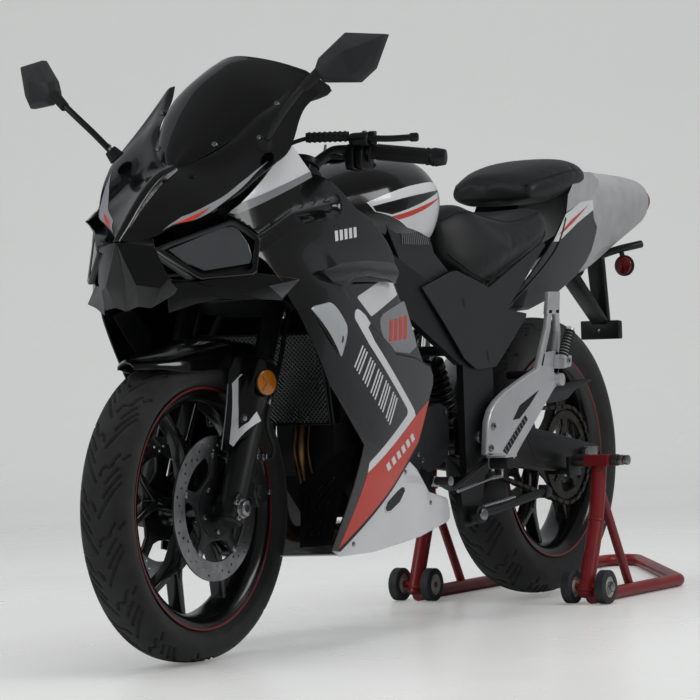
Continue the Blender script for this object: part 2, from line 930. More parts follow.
# ================================================================ studio
@dataclass
class Studio:
    """Pale floor that curves up into a wall, soft lamps and the camera.

    Attributes:
        reach: How far the floor reaches each way, in metres.
        wall_height: Height of the wall.
        turn_radius: Radius of the bend from floor to wall.
        pale: sRGB hex of floor and wall, as the bike's surfaces see them.
        seen_pale: sRGB hex of floor and wall, as the camera sees them.
        lift: Even light that the camera sees on them.
        room_light: Strength of the room's even light.
        room_seen: Its strength to the camera and through glass.
        room_shaded: How much weaker it is in reflections.
        right: The camera's own right.
        up: Its own up.
        forward: Where it looks.
        stand_point: Where it stands, in metres.
        lens_mm: Its focal length on a 36 mm sensor.
    """

    reach: float = 9.0
    wall_height: float = 7.0
    turn_radius: float = 2.5
    pale: str = "C9CACB"
    seen_pale: str = "EDEEEC"
    lift: float = 0.17
    room_light: float = 0.42
    room_seen: float = 0.80
    room_shaded: float = 0.30
    right: Triple = (0.85262043, 0.52131546, -0.03561727)
    up: Triple = (0.02638052, 0.02513075, 0.99933604)
    forward: Triple = (-0.52186442, 0.85299392, -0.00767442)
    stand_point: Triple = (3.43801, -5.961437, 0.63094)
    lens_mm: float = 163.39

    def build(self) -> None:
        """Makes the stage, the lamps, the world and the camera."""
        self._backdrop()
        self._world()
        self._lamps()
        self._camera()

    def _backdrop(self) -> None:
        """Makes the floor and the wall behind the bike as one bent sheet."""
        bpy.ops.object.select_all(action="DESELECT")
        bpy.ops.mesh.primitive_grid_add(x_subdivisions=2, y_subdivisions=40, size=2.0)
        sheet = named("studio_backdrop")
        flat = 2 * self.reach - self.turn_radius
        bend = self.turn_radius * pi / 2
        total = flat + bend + self.wall_height
        toward = Vector((self.forward[0], self.forward[1], 0)).normalized()
        side = Vector((toward.y, -toward.x, 0))
        for corner in sheet.data.vertices:
            run = (corner.co.y + 1.0) / 2.0 * total
            if run < flat:
                ahead, up = run, 0.0
            elif run < flat + bend:
                turn = (run - flat) / self.turn_radius
                ahead = flat + self.turn_radius * sin(turn)
                up = self.turn_radius * (1 - cos(turn))
            else:
                ahead, up = flat + self.turn_radius, self.turn_radius + run - flat - bend
            place = toward * (ahead - self.reach * 1.3) + side * corner.co.x * self.reach * 1.4
            corner.co = (place.x, place.y, up - 0.0005)
        sheet.data.update()
        smooth(sheet, 60.0)
        sheet.data.materials.append(self._backdrop_material())

    def _backdrop_material(self) -> bpy.types.Material:
        """Satin pale floor that keeps shadows and shows as its plain colour in reflections.

        Returns:
            The material.
        """
        material = bpy.data.materials.new("satin_pale_floor")
        material.use_nodes = True
        tree = material.node_tree
        tree.nodes.clear()
        spot = add_node(tree, "ShaderNodeTexCoord").outputs["Object"]
        smears = add_node(
            tree, "ShaderNodeTexNoise", inputs={"Vector": spot, "Scale": 1.6, "Detail": 3.0}
        )
        rough = add_node(
            tree,
            "ShaderNodeMapRange",
            inputs={"Value": smears.outputs["Fac"], "To Min": 0.2, "To Max": 0.34},
        )
        path = add_node(tree, "ShaderNodeLightPath")
        tone = add_node(
            tree,
            "ShaderNodeMix",
            {"data_type": "RGBA"},
            {0: path.outputs["Is Camera Ray"], 6: linear(self.pale), 7: linear(self.seen_pale)},
        )
        lift = sum_of(tree, "MULTIPLY", path.outputs["Is Camera Ray"], self.lift)
        shader = add_node(
            tree,
            "ShaderNodeBsdfPrincipled",
            inputs={
                "Base Color": tone.outputs[2],
                "Roughness": rough.outputs["Result"],
                "IOR": 1.4,
                "Emission Color": linear("F8F8F5"),
                "Emission Strength": lift,
            },
        )
        add_node(tree, "ShaderNodeOutputMaterial", inputs={"Surface": shader.outputs["BSDF"]})
        return material

    def _world(self) -> None:
        """Even pale light from all round, as in a white room."""
        world = bpy.data.worlds.new("pale_room")
        bpy.context.scene.world = world
        world.use_nodes = True
        tree = world.node_tree
        tree.nodes.clear()
        path = add_node(tree, "ShaderNodeLightPath")
        rays = path.outputs
        seen = sum_of(tree, "MAXIMUM", rays["Is Camera Ray"], rays["Is Transmission Ray"])
        bright = add_node(
            tree,
            "ShaderNodeMapRange",
            inputs={"Value": seen, "To Min": self.room_light, "To Max": self.room_seen},
        )
        mirrored = sum_of(tree, "MULTIPLY", rays["Is Glossy Ray"], self.room_shaded)
        strength = sum_of(tree, "SUBTRACT", bright.outputs["Result"], mirrored)
        light = add_node(
            tree,
            "ShaderNodeBackground",
            inputs={"Color": linear("F4F6F8"), "Strength": strength},
        )
        add_node(tree, "ShaderNodeOutputWorld", inputs={"Surface": light.outputs["Background"]})

    def _lamps(self) -> None:
        """Hangs a wide softbox overhead and one on each side."""
        # name, place, aim, width, depth and power
        lamps = (
            ("overhead_softbox", (0.0, -0.4, 4.2), (0.0, 0.0, 0.6), 4.2, 3.0, 95.0),
            ("left_softbox", (4.6, 0.8, 3.0), (0.0, -0.2, 0.6), 2.4, 1.8, 52.0),
            ("front_softbox", (-2.6, -5.0, 3.0), (0.0, -0.6, 0.6), 2.4, 2.0, 40.0),
        )
        for name, place, aim, width, depth, power in lamps:
            light = bpy.data.lights.new(name, "AREA")
            light.shape = "RECTANGLE"
            light.size = width
            light.size_y = depth
            light.energy = power
            lamp = bpy.data.objects.new(name, light)
            bpy.context.collection.objects.link(lamp)
            lamp.location = place
            way = Vector(aim) - Vector(place)
            lamp.rotation_euler = way.to_track_quat("-Z", "Y").to_euler()
            lamp.visible_glossy = name != "overhead_softbox"

    def _camera(self) -> None:
        """Sets the camera low at the bike's left front."""
        camera = bpy.data.cameras.new("studio_camera")
        camera.lens = self.lens_mm
        camera.sensor_width = 36.0
        camera.clip_end = 60.0
        stand = bpy.data.objects.new("studio_camera", camera)
        bpy.context.collection.objects.link(stand)
        turn = Matrix((self.right, self.up, -Vector(self.forward))).transposed().to_4x4()
        stand.matrix_world = Matrix.Translation(self.stand_point) @ turn
        bpy.context.scene.camera = stand


# ================================================================ shared curved surfaces
@dataclass
class Patch:
    """Smooth four-sided surface through a net of points.

    Attributes:
        rows: Equal rows of (x, back, height) points, in millimetres.
    """

    rows: Sequence[Sequence[Triple]]

    def point(self, u: float, v: float) -> Triple:
        """Point of the surface.

        Args:
            u: Row, counted from 0.
            v: Place along the row, counted from 0.

        Returns:
            (x, back, height) in millimetres.
        """
        along = list(range(len(self.rows[0])))
        down = list(range(len(self.rows)))
        found = []
        for part in range(3):
            crossing = [curve_through([p[part] for p in row], along, v) for row in self.rows]
            found.append(curve_through(crossing, down, u))
        return (found[0], found[1], found[2])

    def mesh(self, name: str, wall: float, steps: int) -> Piece:
        """Shell over the surface.

        Args:
            name: Name of the object.
            wall: Its thickness.
            steps: Faces between neighbouring rows or points.

        Returns:
            The object.
        """
        rows, columns = len(self.rows) - 1, len(self.rows[0]) - 1
        down, across = rows * steps, columns * steps
        net = [
            [self.point(rows * i / down, columns * j / across) for j in range(across + 1)]
            for i in range(down + 1)
        ]
        piece = skin(name, net, levels=0)
        modify(piece, "SOLIDIFY", thickness=wall / 1000.0, offset=0.0, use_even_offset=False)
        smooth(piece, 45.0)
        return piece


def facets(
    name: str,
    points: Sequence[Triple],
    faces: Sequence[Sequence[int]],
    wall: float = 3.0,
    rounding: float = 1.2,
) -> Piece:
    """Faceted moulding with a wall, from corner points and the faces between them.

    Args:
        name: Name of the object.
        points: (x, back, height) corners in millimetres.
        faces: Corner numbers of each face, seen from outside.
        wall: Thickness behind the faces, or 0 where they shut the piece.
        rounding: Width of the edge rounding.

    Returns:
        The object.
    """
    mesh = bpy.data.meshes.new(name)
    mesh.from_pydata([at(*point) for point in points], [], [list(face) for face in faces])
    mesh.update()
    piece = bpy.data.objects.new(name, mesh)
    bpy.context.collection.objects.link(piece)
    with editing(piece):
        bpy.ops.mesh.normals_make_consistent(inside=False)
    if wall:
        modify(piece, "SOLIDIFY", thickness=wall / 1000.0, offset=0.0)
    if rounding:
        bevel(piece, rounding, 3, 18.0)
    smooth(piece, 30.0)
    return piece


def whole_rows(half: Sequence[Sequence[Triple]]) -> list[list[Triple]]:
    """Rows across the whole bike, from rows that start on its middle plane.

    Args:
        half: Rows of the left half.

    Returns:
        The same rows with their mirror images put before them.
    """
    return [[(-x, b, z) for x, b, z in reversed(row[1:])] + list(row) for row in half]


def hoop(side: Sequence[Triple]) -> list[Triple]:
    """Closed section from its left half.

    Args:
        side: Points from the top's middle to the underside's.

    Returns:
        The points all round.
    """
    return list(side) + [(-x, b, z) for x, b, z in reversed(side[1:-1])]


def twins(piece: Piece, name: str) -> Piece:
    """A piece joined with its mirror image across the bike.

    Args:
        piece: The left piece.
        name: Name of the pair.

    Returns:
        The pair as one object.
    """
    return joined([piece, copied(piece, name + "_right", MIRROR)], name)


# ================================================================ wheels
@dataclass
class Tyre:
    """Road tyre with cut grooves, mould rings and dull rubber.

    Attributes:
        node: The CAD node it stands for, and its name's root.
        body: The body that carries it.
        back: Its axle's distance behind the front axle.
        height: Its axle's height.
        radius: Radius to the crown.
        half_width: Half of its width.
        rim_half: Half of the width between the rim's flanges.
        pitches: Times the tread pattern repeats round the tyre.
        round_steps: Steps round the tyre.
        across_steps: Steps from bead to bead.
        flange: Radius of the rim's flange, where the sidewall starts.
        groove_depth: Depth of the tread's cuts.
        groove_half_width: Half of their width.
        groove_slope: Width of their slanted walls.
        pattern_half: Half width of the tyre that the cuts below are drawn for.
        mould_rings: Distance of the sidewall's rings from the crown, as shares of its reach.
        ring_depth: Depth of the rings.
        ring_half: Half of their width.
    """

    node: str
    body: str
    back: float
    height: float
    radius: float
    half_width: float
    rim_half: float
    pitches: int = 14
    round_steps: int = 756
    across_steps: int = 88
    flange: float = 232.0
    groove_depth: float = 4.2
    groove_half_width: float = 2.6
    groove_slope: float = 1.4
    pattern_half: float = 55.0
    mould_rings: Pair = (0.62, 0.8)
    ring_depth: float = 0.7
    ring_half: float = 1.3

    def build(self) -> None:
        """Makes the tyre and lets it stand for its CAD node."""
        x, r, out_x, out_r, across = self._section()
        turn = np.arange(self.round_steps) * 2 * pi / self.round_steps
        around = turn * self.radius
        cut = self._groove(around[:, None], across[None, :])
        far_x = x[None, :] - out_x[None, :] * cut
        far_r = r[None, :] - out_r[None, :] * cut
        points = np.empty((self.round_steps, len(x), 3))
        points[:, :, 0] = far_x
        points[:, :, 1] = AXLE_Y + self.back + far_r * np.sin(turn)[:, None]
        points[:, :, 2] = self.height + far_r * np.cos(turn)[:, None]
        tyre = self._net(points / 1000.0)
        fit(tyre, RUBBER, self.body, "tyre", self.node)

    def _section(self) -> tuple[np.ndarray, ...]:
        """Half-smooth section from bead to bead.

        Returns:
            x, radius, the outward direction's two parts, and the distance from the crown.
        """
        rise = self.radius - self.flange
        half = [(self.rim_half, 219.0), (self.rim_half + 1.0, 229.0), (self.rim_half + 3.5, 234.5)]
        # shares of the half width and of the rise from flange to crown
        for wide, tall in ((0.93, 0.24), (1.0, 0.46), (0.985, 0.6), (0.9, 0.74), (0.72, 0.88), (0.42, 0.968)):
            half.append((self.half_width * wide, self.flange + rise * tall))
        half.append((0.0, self.radius))
        corners = half + [(-x, r) for x, r in reversed(half[:-1])]
        run = [0.0]
        for (x0, r0), (x1, r1) in zip(corners, corners[1:]):
            run.append(run[-1] + sqrt((x1 - x0) ** 2 + (r1 - r0) ** 2))
        places = np.linspace(0, run[-1], self.across_steps)
        x = np.array([curve_through([c[0] for c in corners], run, p) for p in places])
        r = np.array([curve_through([c[1] for c in corners], run, p) for p in places])
        dx, dr = np.gradient(x), np.gradient(r)
        size = np.sqrt(dx**2 + dr**2)
        middle = run[-1] / 2
        return x, r, dr / size, -dx / size, places - middle

    def _groove(self, around: np.ndarray, across: np.ndarray) -> np.ndarray:
        """Depth of the tread and of the mould rings.

        Args:
            around: Distance round the tyre.
            across: Distance from the crown.

        Returns:
            Depth in millimetres at each point.
        """
        pitch = 2 * pi * self.radius / self.pitches
        lines = (
            # long slant cut, from beside the crown to the shoulder
            ((0.02, 5.0), (0.16, 16.0), (0.34, 30.0), (0.52, 46.0)),
            # second slant cut
            ((0.30, 14.0), (0.42, 24.0), (0.62, 44.0)),
            # third, short
            ((0.50, 17.0), (0.58, 24.0), (0.72, 38.0)),
            # squiggle that joins two pitches
            ((0.62, 3.0), (0.70, 6.0), (0.74, 12.0), (0.72, 19.0), (0.76, 26.0), (0.86, 30.0), (0.93, 37.0)),
            # shoulder cut
            ((0.86, 44.0), (0.95, 54.0)),
        )
        depth = np.zeros(np.broadcast(around, across).shape)
        stretch = self.half_width / self.pattern_half
        for side in (1.0, -1.0):
            shift = 0.0 if side > 0 else 0.5
            u = ((around / pitch + shift) % 1.0) * pitch
            v = across * side
            near = np.full(depth.shape, 1e6)
            for line in lines:
                for (u0, v0), (u1, v1) in zip(line, line[1:]):
                    for wrap in (-pitch, 0.0, pitch):
                        start = (u0 * pitch + wrap, v0 * stretch)
                        end = (u1 * pitch + wrap, v1 * stretch)
                        near = np.minimum(near, self._distance(u, v, *start, *end))
            inside = self.groove_half_width + self.groove_slope / 2 - near
            edge = np.clip(inside / self.groove_slope, 0.0, 1.0)
            depth = np.maximum(depth, edge * self.groove_depth)
        for ring in self.mould_rings:
            spot = np.abs(np.abs(across) - (np.abs(across).max() * ring))
            depth = np.maximum(depth, np.clip(self.ring_half - spot, 0.0, 1.0) * self.ring_depth)
        return depth

    @staticmethod
    def _distance(
        u: np.ndarray, v: np.ndarray, u0: float, v0: float, u1: float, v1: float
    ) -> np.ndarray:
        """Distance from points to a stretch.

        Args:
            u: The points' first places.
            v: Their second places.
            u0: The stretch's start, first place.
            v0: Its start, second place.
            u1: Its end, first place.
            v1: Its end, second place.

        Returns:
            The distances.
        """
        run_u, run_v = u1 - u0, v1 - v0
        t = np.clip(((u - u0) * run_u + (v - v0) * run_v) / (run_u**2 + run_v**2), 0.0, 1.0)
        return np.hypot(u - u0 - t * run_u, v - v0 - t * run_v)

    def _net(self, points: np.ndarray) -> Piece:
        """Closed band from a net of points, moved from a grid.

        Args:
            points: Points by step round and step across, in metres.

        Returns:
            The object.
        """
        rows, columns = points.shape[:2]
        closed = np.concatenate([points, points[:1]])
        bpy.ops.object.select_all(action="DESELECT")
        bpy.ops.mesh.primitive_grid_add(x_subdivisions=columns - 1, y_subdivisions=rows, size=0.2)
        piece = named(self.node + "_rubber")
        piece.data.vertices.foreach_set("co", closed.reshape(-1))
        piece.data.update()
        outward(piece)
        smooth(piece, 50.0)
        return piece


@dataclass
class Rim:
    """Cast rim with forked spokes, a red line on each flange and a valve.

    Attributes:
        node: The CAD node it stands for.
        body: The body that carries it.
        back: Its axle's distance behind the front axle.
        height: Its axle's height.
        half_width: Half of its width over the flanges.
        hub_half: Half of the hub's length.
        spokes: Number of forked spokes.
        spoke_turn: Angle of the first spoke, in degrees.
        flange_radius: Radius over the flanges.
        bead_radius: Radius of the bead's seat.
        hub_radius: Radius of the hub.
    """

    node: str
    body: str
    back: float
    height: float
    half_width: float
    hub_half: float
    spokes: int = 5
    spoke_turn: float = 90.0
    flange_radius: float = 232.0
    bead_radius: float = 218.0
    hub_radius: float = 33.0

    def build(self) -> None:
        """Makes the rim and lets it stand for its CAD node."""
        pieces = [self._barrel(), self._hub(), *self._spoke_ring()]
        for piece in pieces:
            dress(piece, RIM_BLACK)
        pieces += [self._stripe(1), self._stripe(-1), self._valve()]
        rim = joined(pieces, self.node + "_cast")
        fit(rim, None, self.body, "black_metal", self.node)

    def _barrel(self) -> Piece:
        """Rolled barrel with its flanges and drop centre.

        Returns:
            The piece.
        """
        half, flange, bead = self.half_width, self.flange_radius, self.bead_radius
        outer = [(half, flange - 2), (half - 1.5, flange), (half - 6, flange), (half - 8, flange - 3),
                 (half - 8, bead + 1), (half - 14, bead), (half * 0.42, bead - 4), (half * 0.36, bead - 9)]
        inner = [(half * 0.3, bead - 17), (half * 0.6, bead - 13), (half - 9, bead - 6), (half - 3, bead + 2)]
        left = outer + [(-x, r) for x, r in reversed(outer)]
        back = [(-x, r) for x, r in reversed(inner)] + inner
        profile = left + back
        return spun(self.node + "_barrel", profile, self.back, self.height, 120)

    def _hub(self) -> Piece:
        """Hub drum with a raised collar on each end and its bearing seal.

        Returns:
            The piece.
        """
        half = self.hub_half
        radius = self.hub_radius
        profile = [
            (-half, 12), (-half, radius - 6), (-half + 5, radius), (-half + 14, radius),
            (-half + 18, radius - 5), (half - 18, radius - 5), (half - 14, radius),
            (half - 5, radius), (half, radius - 6), (half, 12),
        ]
        return spun(self.node + "_hub", profile, self.back, self.height, 64)

    def _spoke_ring(self) -> list[Piece]:
        """One forked spoke and its turned copies.

        Returns:
            The pieces.
        """
        root, fork, foot = self.hub_radius - 8, 122.0, self.bead_radius - 13
        spread = radians(15.5)
        # (radius, sideways) corners of the stem and its two branches, one side listed
        side = [
            (root, 15.0), (fork - 30, 11.5), (fork - 6, 14.0), (fork + 14, 22.0),
            (foot * cos(spread), foot * sin(spread) + 9.0),
        ]
        crotch = [(foot * cos(spread) + 3, foot * sin(spread) - 7.0), (fork + 20, 6.0), (fork + 12, 0.0)]
        outline = side + crotch + [
            (r, -s)
            for r, s in reversed(crotch[:-1])
        ] + [(r, -s) for r, s in reversed(side)]
        spoke = prism(
            self.node + "_spoke",
            [(self.back + s, self.height + r) for r, s in outline],
            -15.0,
            15.0,
            3.5,
            3,
        )
        web = prism(
            self.node + "_web",
            [(self.back + s, self.height + r) for r, s in
             [(root, 8.0), (fork - 20, 4.5), (fork + 2, 5.0), (fork + 2, -5.0), (fork - 20, -4.5), (root,
             -8.0)]],
            -17.5,
            17.5,
            1.5,
        )
        spoke = joined([spoke, web], self.node + "_spoke")
        ring = []
        for index in range(self.spokes):
            turn = radians(self.spoke_turn + index * 360.0 / self.spokes)
            ring.append(copied(spoke, f"{self.node}_spoke_{index}", turned(turn, self.back, self.height)))
        bpy.data.objects.remove(spoke)
        return ring

    def _stripe(self, side: int) -> Piece:
        """Red line round one flange.

        Args:
            side: 1 for the left flange, -1 for the right.

        Returns:
            The ring.
        """
        half = self.half_width
        profile = [
            (side * (half - 0.6), self.flange_radius - 4.6), (side * (half + 0.35), self.flange_radius - 1.6),
            (side * (half + 0.1), self.flange_radius - 0.4), (side * (half - 1.0), self.flange_radius - 3.4),
        ]
        piece = spun(f"{self.node}_stripe_{side}", profile, self.back, self.height, 120)
        return dress(piece, PINSTRIPE)

    def _valve(self) -> Piece:
        """Rubber valve stem with its cap.

        Returns:
            The piece.
        """
        turn = turned(radians(self.spoke_turn + 36), self.back, self.height)
        stem = drum(
            self.node + "_valve", (18, self.back, self.height + self.bead_radius - 14),
            (26, self.back, self.height + self.bead_radius - 44), 4.2, 3.0, 16, 0.6,
        )
        valve = copied(stem, self.node + "_valve_stem", turn)
        bpy.data.objects.remove(stem)
        return dress(valve, SOFT_RUBBER)


@dataclass
class BrakeDisc:
    """Drilled disc on a black star carrier with bright bobbins and bolts.

    Attributes:
        name: Name of the piece.
        body: The body that carries it.
        x: Middle of the disc, to the left.
        back: Its axle's distance behind the front axle.
        height: Its axle's height.
        radius: Outer radius.
        band: Width of the braking band.
        face: 1 if its bolts face left, -1 if right.
        thickness: Thickness of the braking band.
        bolt_circle: Radius of the circle of hub bolts.
    """

    name: str
    body: str
    x: float
    back: float
    height: float
    radius: float
    band: float
    face: int
    thickness: float = 4.5
    bolt_circle: float = 44.0

    def build(self) -> Piece:
        """Makes the disc with its carrier.

        Returns:
            The piece.
        """
        half = self.thickness / 2
        inner = self.radius - self.band
        rim = spun(
            self.name + "_band",
            [(self.x - half, inner), (self.x - half + 0.5, inner - 0.5), (self.x + half - 0.5, inner - 0.5),
             (self.x + half, inner), (self.x + half, self.radius), (self.x + half - 0.6, self.radius + 0.5),
             (self.x - half + 0.6, self.radius + 0.5), (self.x - half, self.radius)],
            self.back, self.height, 120,
        )
        self._drill(rim)
        dress(rim, DISC_STEEL)
        pieces = [rim, *self._carrier(inner), *self._bolts(inner)]
        return joined(pieces, self.name)

    def _drill(self, rim: Piece) -> None:
        """Cuts the band's vent holes.

        Args:
            rim: The braking band.
        """
        rows = ((0.24, 0.0), (0.5, 1.0), (0.76, 2.0), (0.5, 3.4))
        cutters = []
        middle = self.radius - self.band
        for group in range(12):
            for depth, step in rows:
                turn = radians(group * 30.0 + step * 6.6)
                r = middle + self.band * depth
                place = (self.back + r * sin(turn), self.height + r * cos(turn))
                cutters.append(level_drum("drill", self.x - 6, self.x + 6, place, 3.0, None, 12, 0.0))
        drill = joined(cutters, self.name + "_drill")
        modify(rim, "BOOLEAN", operation="DIFFERENCE", object=drill, solver="EXACT")
        bpy.data.objects.remove(drill)
        smooth(rim, 30.0)

    def _carrier(self, inner: float) -> list[Piece]:
        """Black star between the hub bolts and the band.

        Args:
            inner: The band's inner radius.

        Returns:
            The carrier's pieces.
        """
        outline = []
        for arm in range(5):
            for turn, r in ((-22, 0.62), (-10, 0.72), (-6, 1.02), (6, 1.02), (10, 0.72), (22, 0.62)):
                angle = radians(arm * 72.0 + turn)
                outline.append((self.back + inner * r * sin(angle), self.height + inner * r * cos(angle)))
        star = prism(self.name + "_star", outline, self.x - 3.4, self.x + 3.4, 1.0)
        ring = spun(
            self.name + "_ring",
            [
                (self.x - 4.5, 22), (self.x - 4.5, inner * 0.56), (self.x + 4.5, inner * 0.56),
                (self.x + 4.5, 22),
            ],
            self.back, self.height, 64,
        )
        for piece in (star, ring):
            dress(piece, BLACK_METAL)
        return [star, ring]

    def _bolts(self, inner: float) -> list[Piece]:
        """Bobbins at the star's tips and flanged bolts on the hub.

        Args:
            inner: The band's inner radius.

        Returns:
            The fasteners.
        """
        found = []
        for arm in range(5):
            for r, size, tall, turn in ((inner * 0.98, 6.5, 4.2, 0.0), (self.bolt_circle, 5.5, 8.5, 36.0)):
                angle = radians(arm * 72.0 + turn)
                place = (self.back + r * sin(angle), self.height + r * cos(angle))
                start = (self.x + self.face * 2.0, *place)
                end = (self.x + self.face * tall, *place)
                bolt = drum(f"{self.name}_bolt", start, end, size, None, 16, 0.8)
                dress(bolt, ZINC_STEEL)
                found.append(bolt)
        return found


@dataclass
class Wheels:
    """Both wheels with their tyres, rims and discs.

    Attributes:
        front: The front tyre.
        rear: The rear tyre.
    """

    front: Tyre = field(
        default_factory=lambda: Tyre("front_tyre", "front_wheel", 0.0, FRONT_RADIUS, FRONT_RADIUS, 55.0, 34.0)
    )
    rear: Tyre = field(
        default_factory=lambda: Tyre(
            "rear_tyre", "rear_wheel", WHEELBASE, REAR_AXLE_HEIGHT, REAR_RADIUS, 70.0, 49.0, 15
        )
    )

    def build(self) -> None:
        """Builds every piece of both wheels."""
        self.front.build()
        self.rear.build()
        Rim("front_rim", "front_wheel", 0.0, FRONT_RADIUS, 42.0, 58.0, spoke_turn=8.0).build()
        Rim("rear_rim", "rear_wheel", WHEELBASE, REAR_AXLE_HEIGHT, 57.0, 60.0, spoke_turn=20.0).build()
        pair = [
            BrakeDisc(
                f"front_disc_{side}", "front_wheel", side * 62.5, 0.0, FRONT_RADIUS, 138.0, 36.0, side
            ).build()
            for side in (1, -1)
        ]
        discs = joined(pair, "front_disc_pair")
        fit(discs, None, "front_wheel", "steel", "front_discs")
        rear = BrakeDisc(
            "rear_disc_drilled", "rear_wheel", -64.25, WHEELBASE, REAR_AXLE_HEIGHT, 110.0, 28.0, -1
        ).build()
        fit(rear, None, "rear_wheel", "steel", "rear_disc")


# ================================================================ fairings
STATIONS = (-60.0, 20.0, 150.0, 350.0, 550.0, 780.0)
LEVELS = (190.0, 350.0, 520.0, 705.0, 800.0, 1010.0)
# half widths of the fairing's flank, by level, then by station
FLANK = (
    (100.0, 170.0, 196.0, 202.0, 178.0, 146.0),
    (150.0, 208.0, 224.0, 220.0, 190.0, 148.0),
    (186.0, 220.0, 234.0, 222.0, 190.0, 146.0),
    (190.0, 218.0, 230.0, 214.0, 184.0, 140.0),
    (172.0, 190.0, 200.0, 196.0, 176.0, 140.0),
    (142.0, 158.0, 168.0, 166.0, 150.0, 130.0),
)
GUTTER = ((0.0, 796.0), (125.0, 846.0), (275.0, 868.0))
GUTTER_DEPTH = 11.0
GUTTER_HALF_WIDTH = 15.0
CREASE = ((60.0, 700.0), (190.0, 735.0))  # hollow behind the headlamp
CREASE_DEPTH = 5.0
CREASE_HALF_WIDTH = 40.0


def flank_width(back: float, height: float) -> float:
    """Half width of the flank's plain surface.

    Args:
        back: Distance behind the front axle.
        height: Height over the floor.

    Returns:
        The half width in millimetres.
    """
    levels = [curve_through(row, STATIONS, back) for row in FLANK]
    return curve_through(levels, LEVELS, height)


def near_line(back: float, height: float, line: Sequence[Pair]) -> float:
    """Distance from a point to a line of stretches.

    Args:
        back: The point's first place.
        height: The point's second place.
        line: The line's corners.

    Returns:
        The distance in millimetres.
    """
    best = 1e6
    for (b0, h0), (b1, h1) in zip(line, line[1:]):
        run, rise = b1 - b0, h1 - h0
        t = min(max(((back - b0) * run + (height - h0) * rise) / (run * run + rise * rise), 0.0), 1.0)
        best = min(best, sqrt((back - b0 - t * run) ** 2 + (height - h0 - t * rise) ** 2))
    return best


def flank(offset: float = 0.0, grooved: bool = False) -> Place:
    """Left flank as a surface.

    Args:
        offset: How far outside the plain surface.
        grooved: Whether the gutter under the cockpit is pressed in.

    Returns:
        A function from (back, height) to a point.
    """

    def place(back: float, height: float) -> Triple:
        """Point of the flank."""
        x = flank_width(back, height) + offset
        if grooved:
            x -= GUTTER_DEPTH * max(0.0, 1.0 - (near_line(back, height, GUTTER) / GUTTER_HALF_WIDTH) ** 2)
            x -= CREASE_DEPTH * max(0.0, 1.0 - near_line(back, height, CREASE) / CREASE_HALF_WIDTH)
        return (x, back, height)

    return place


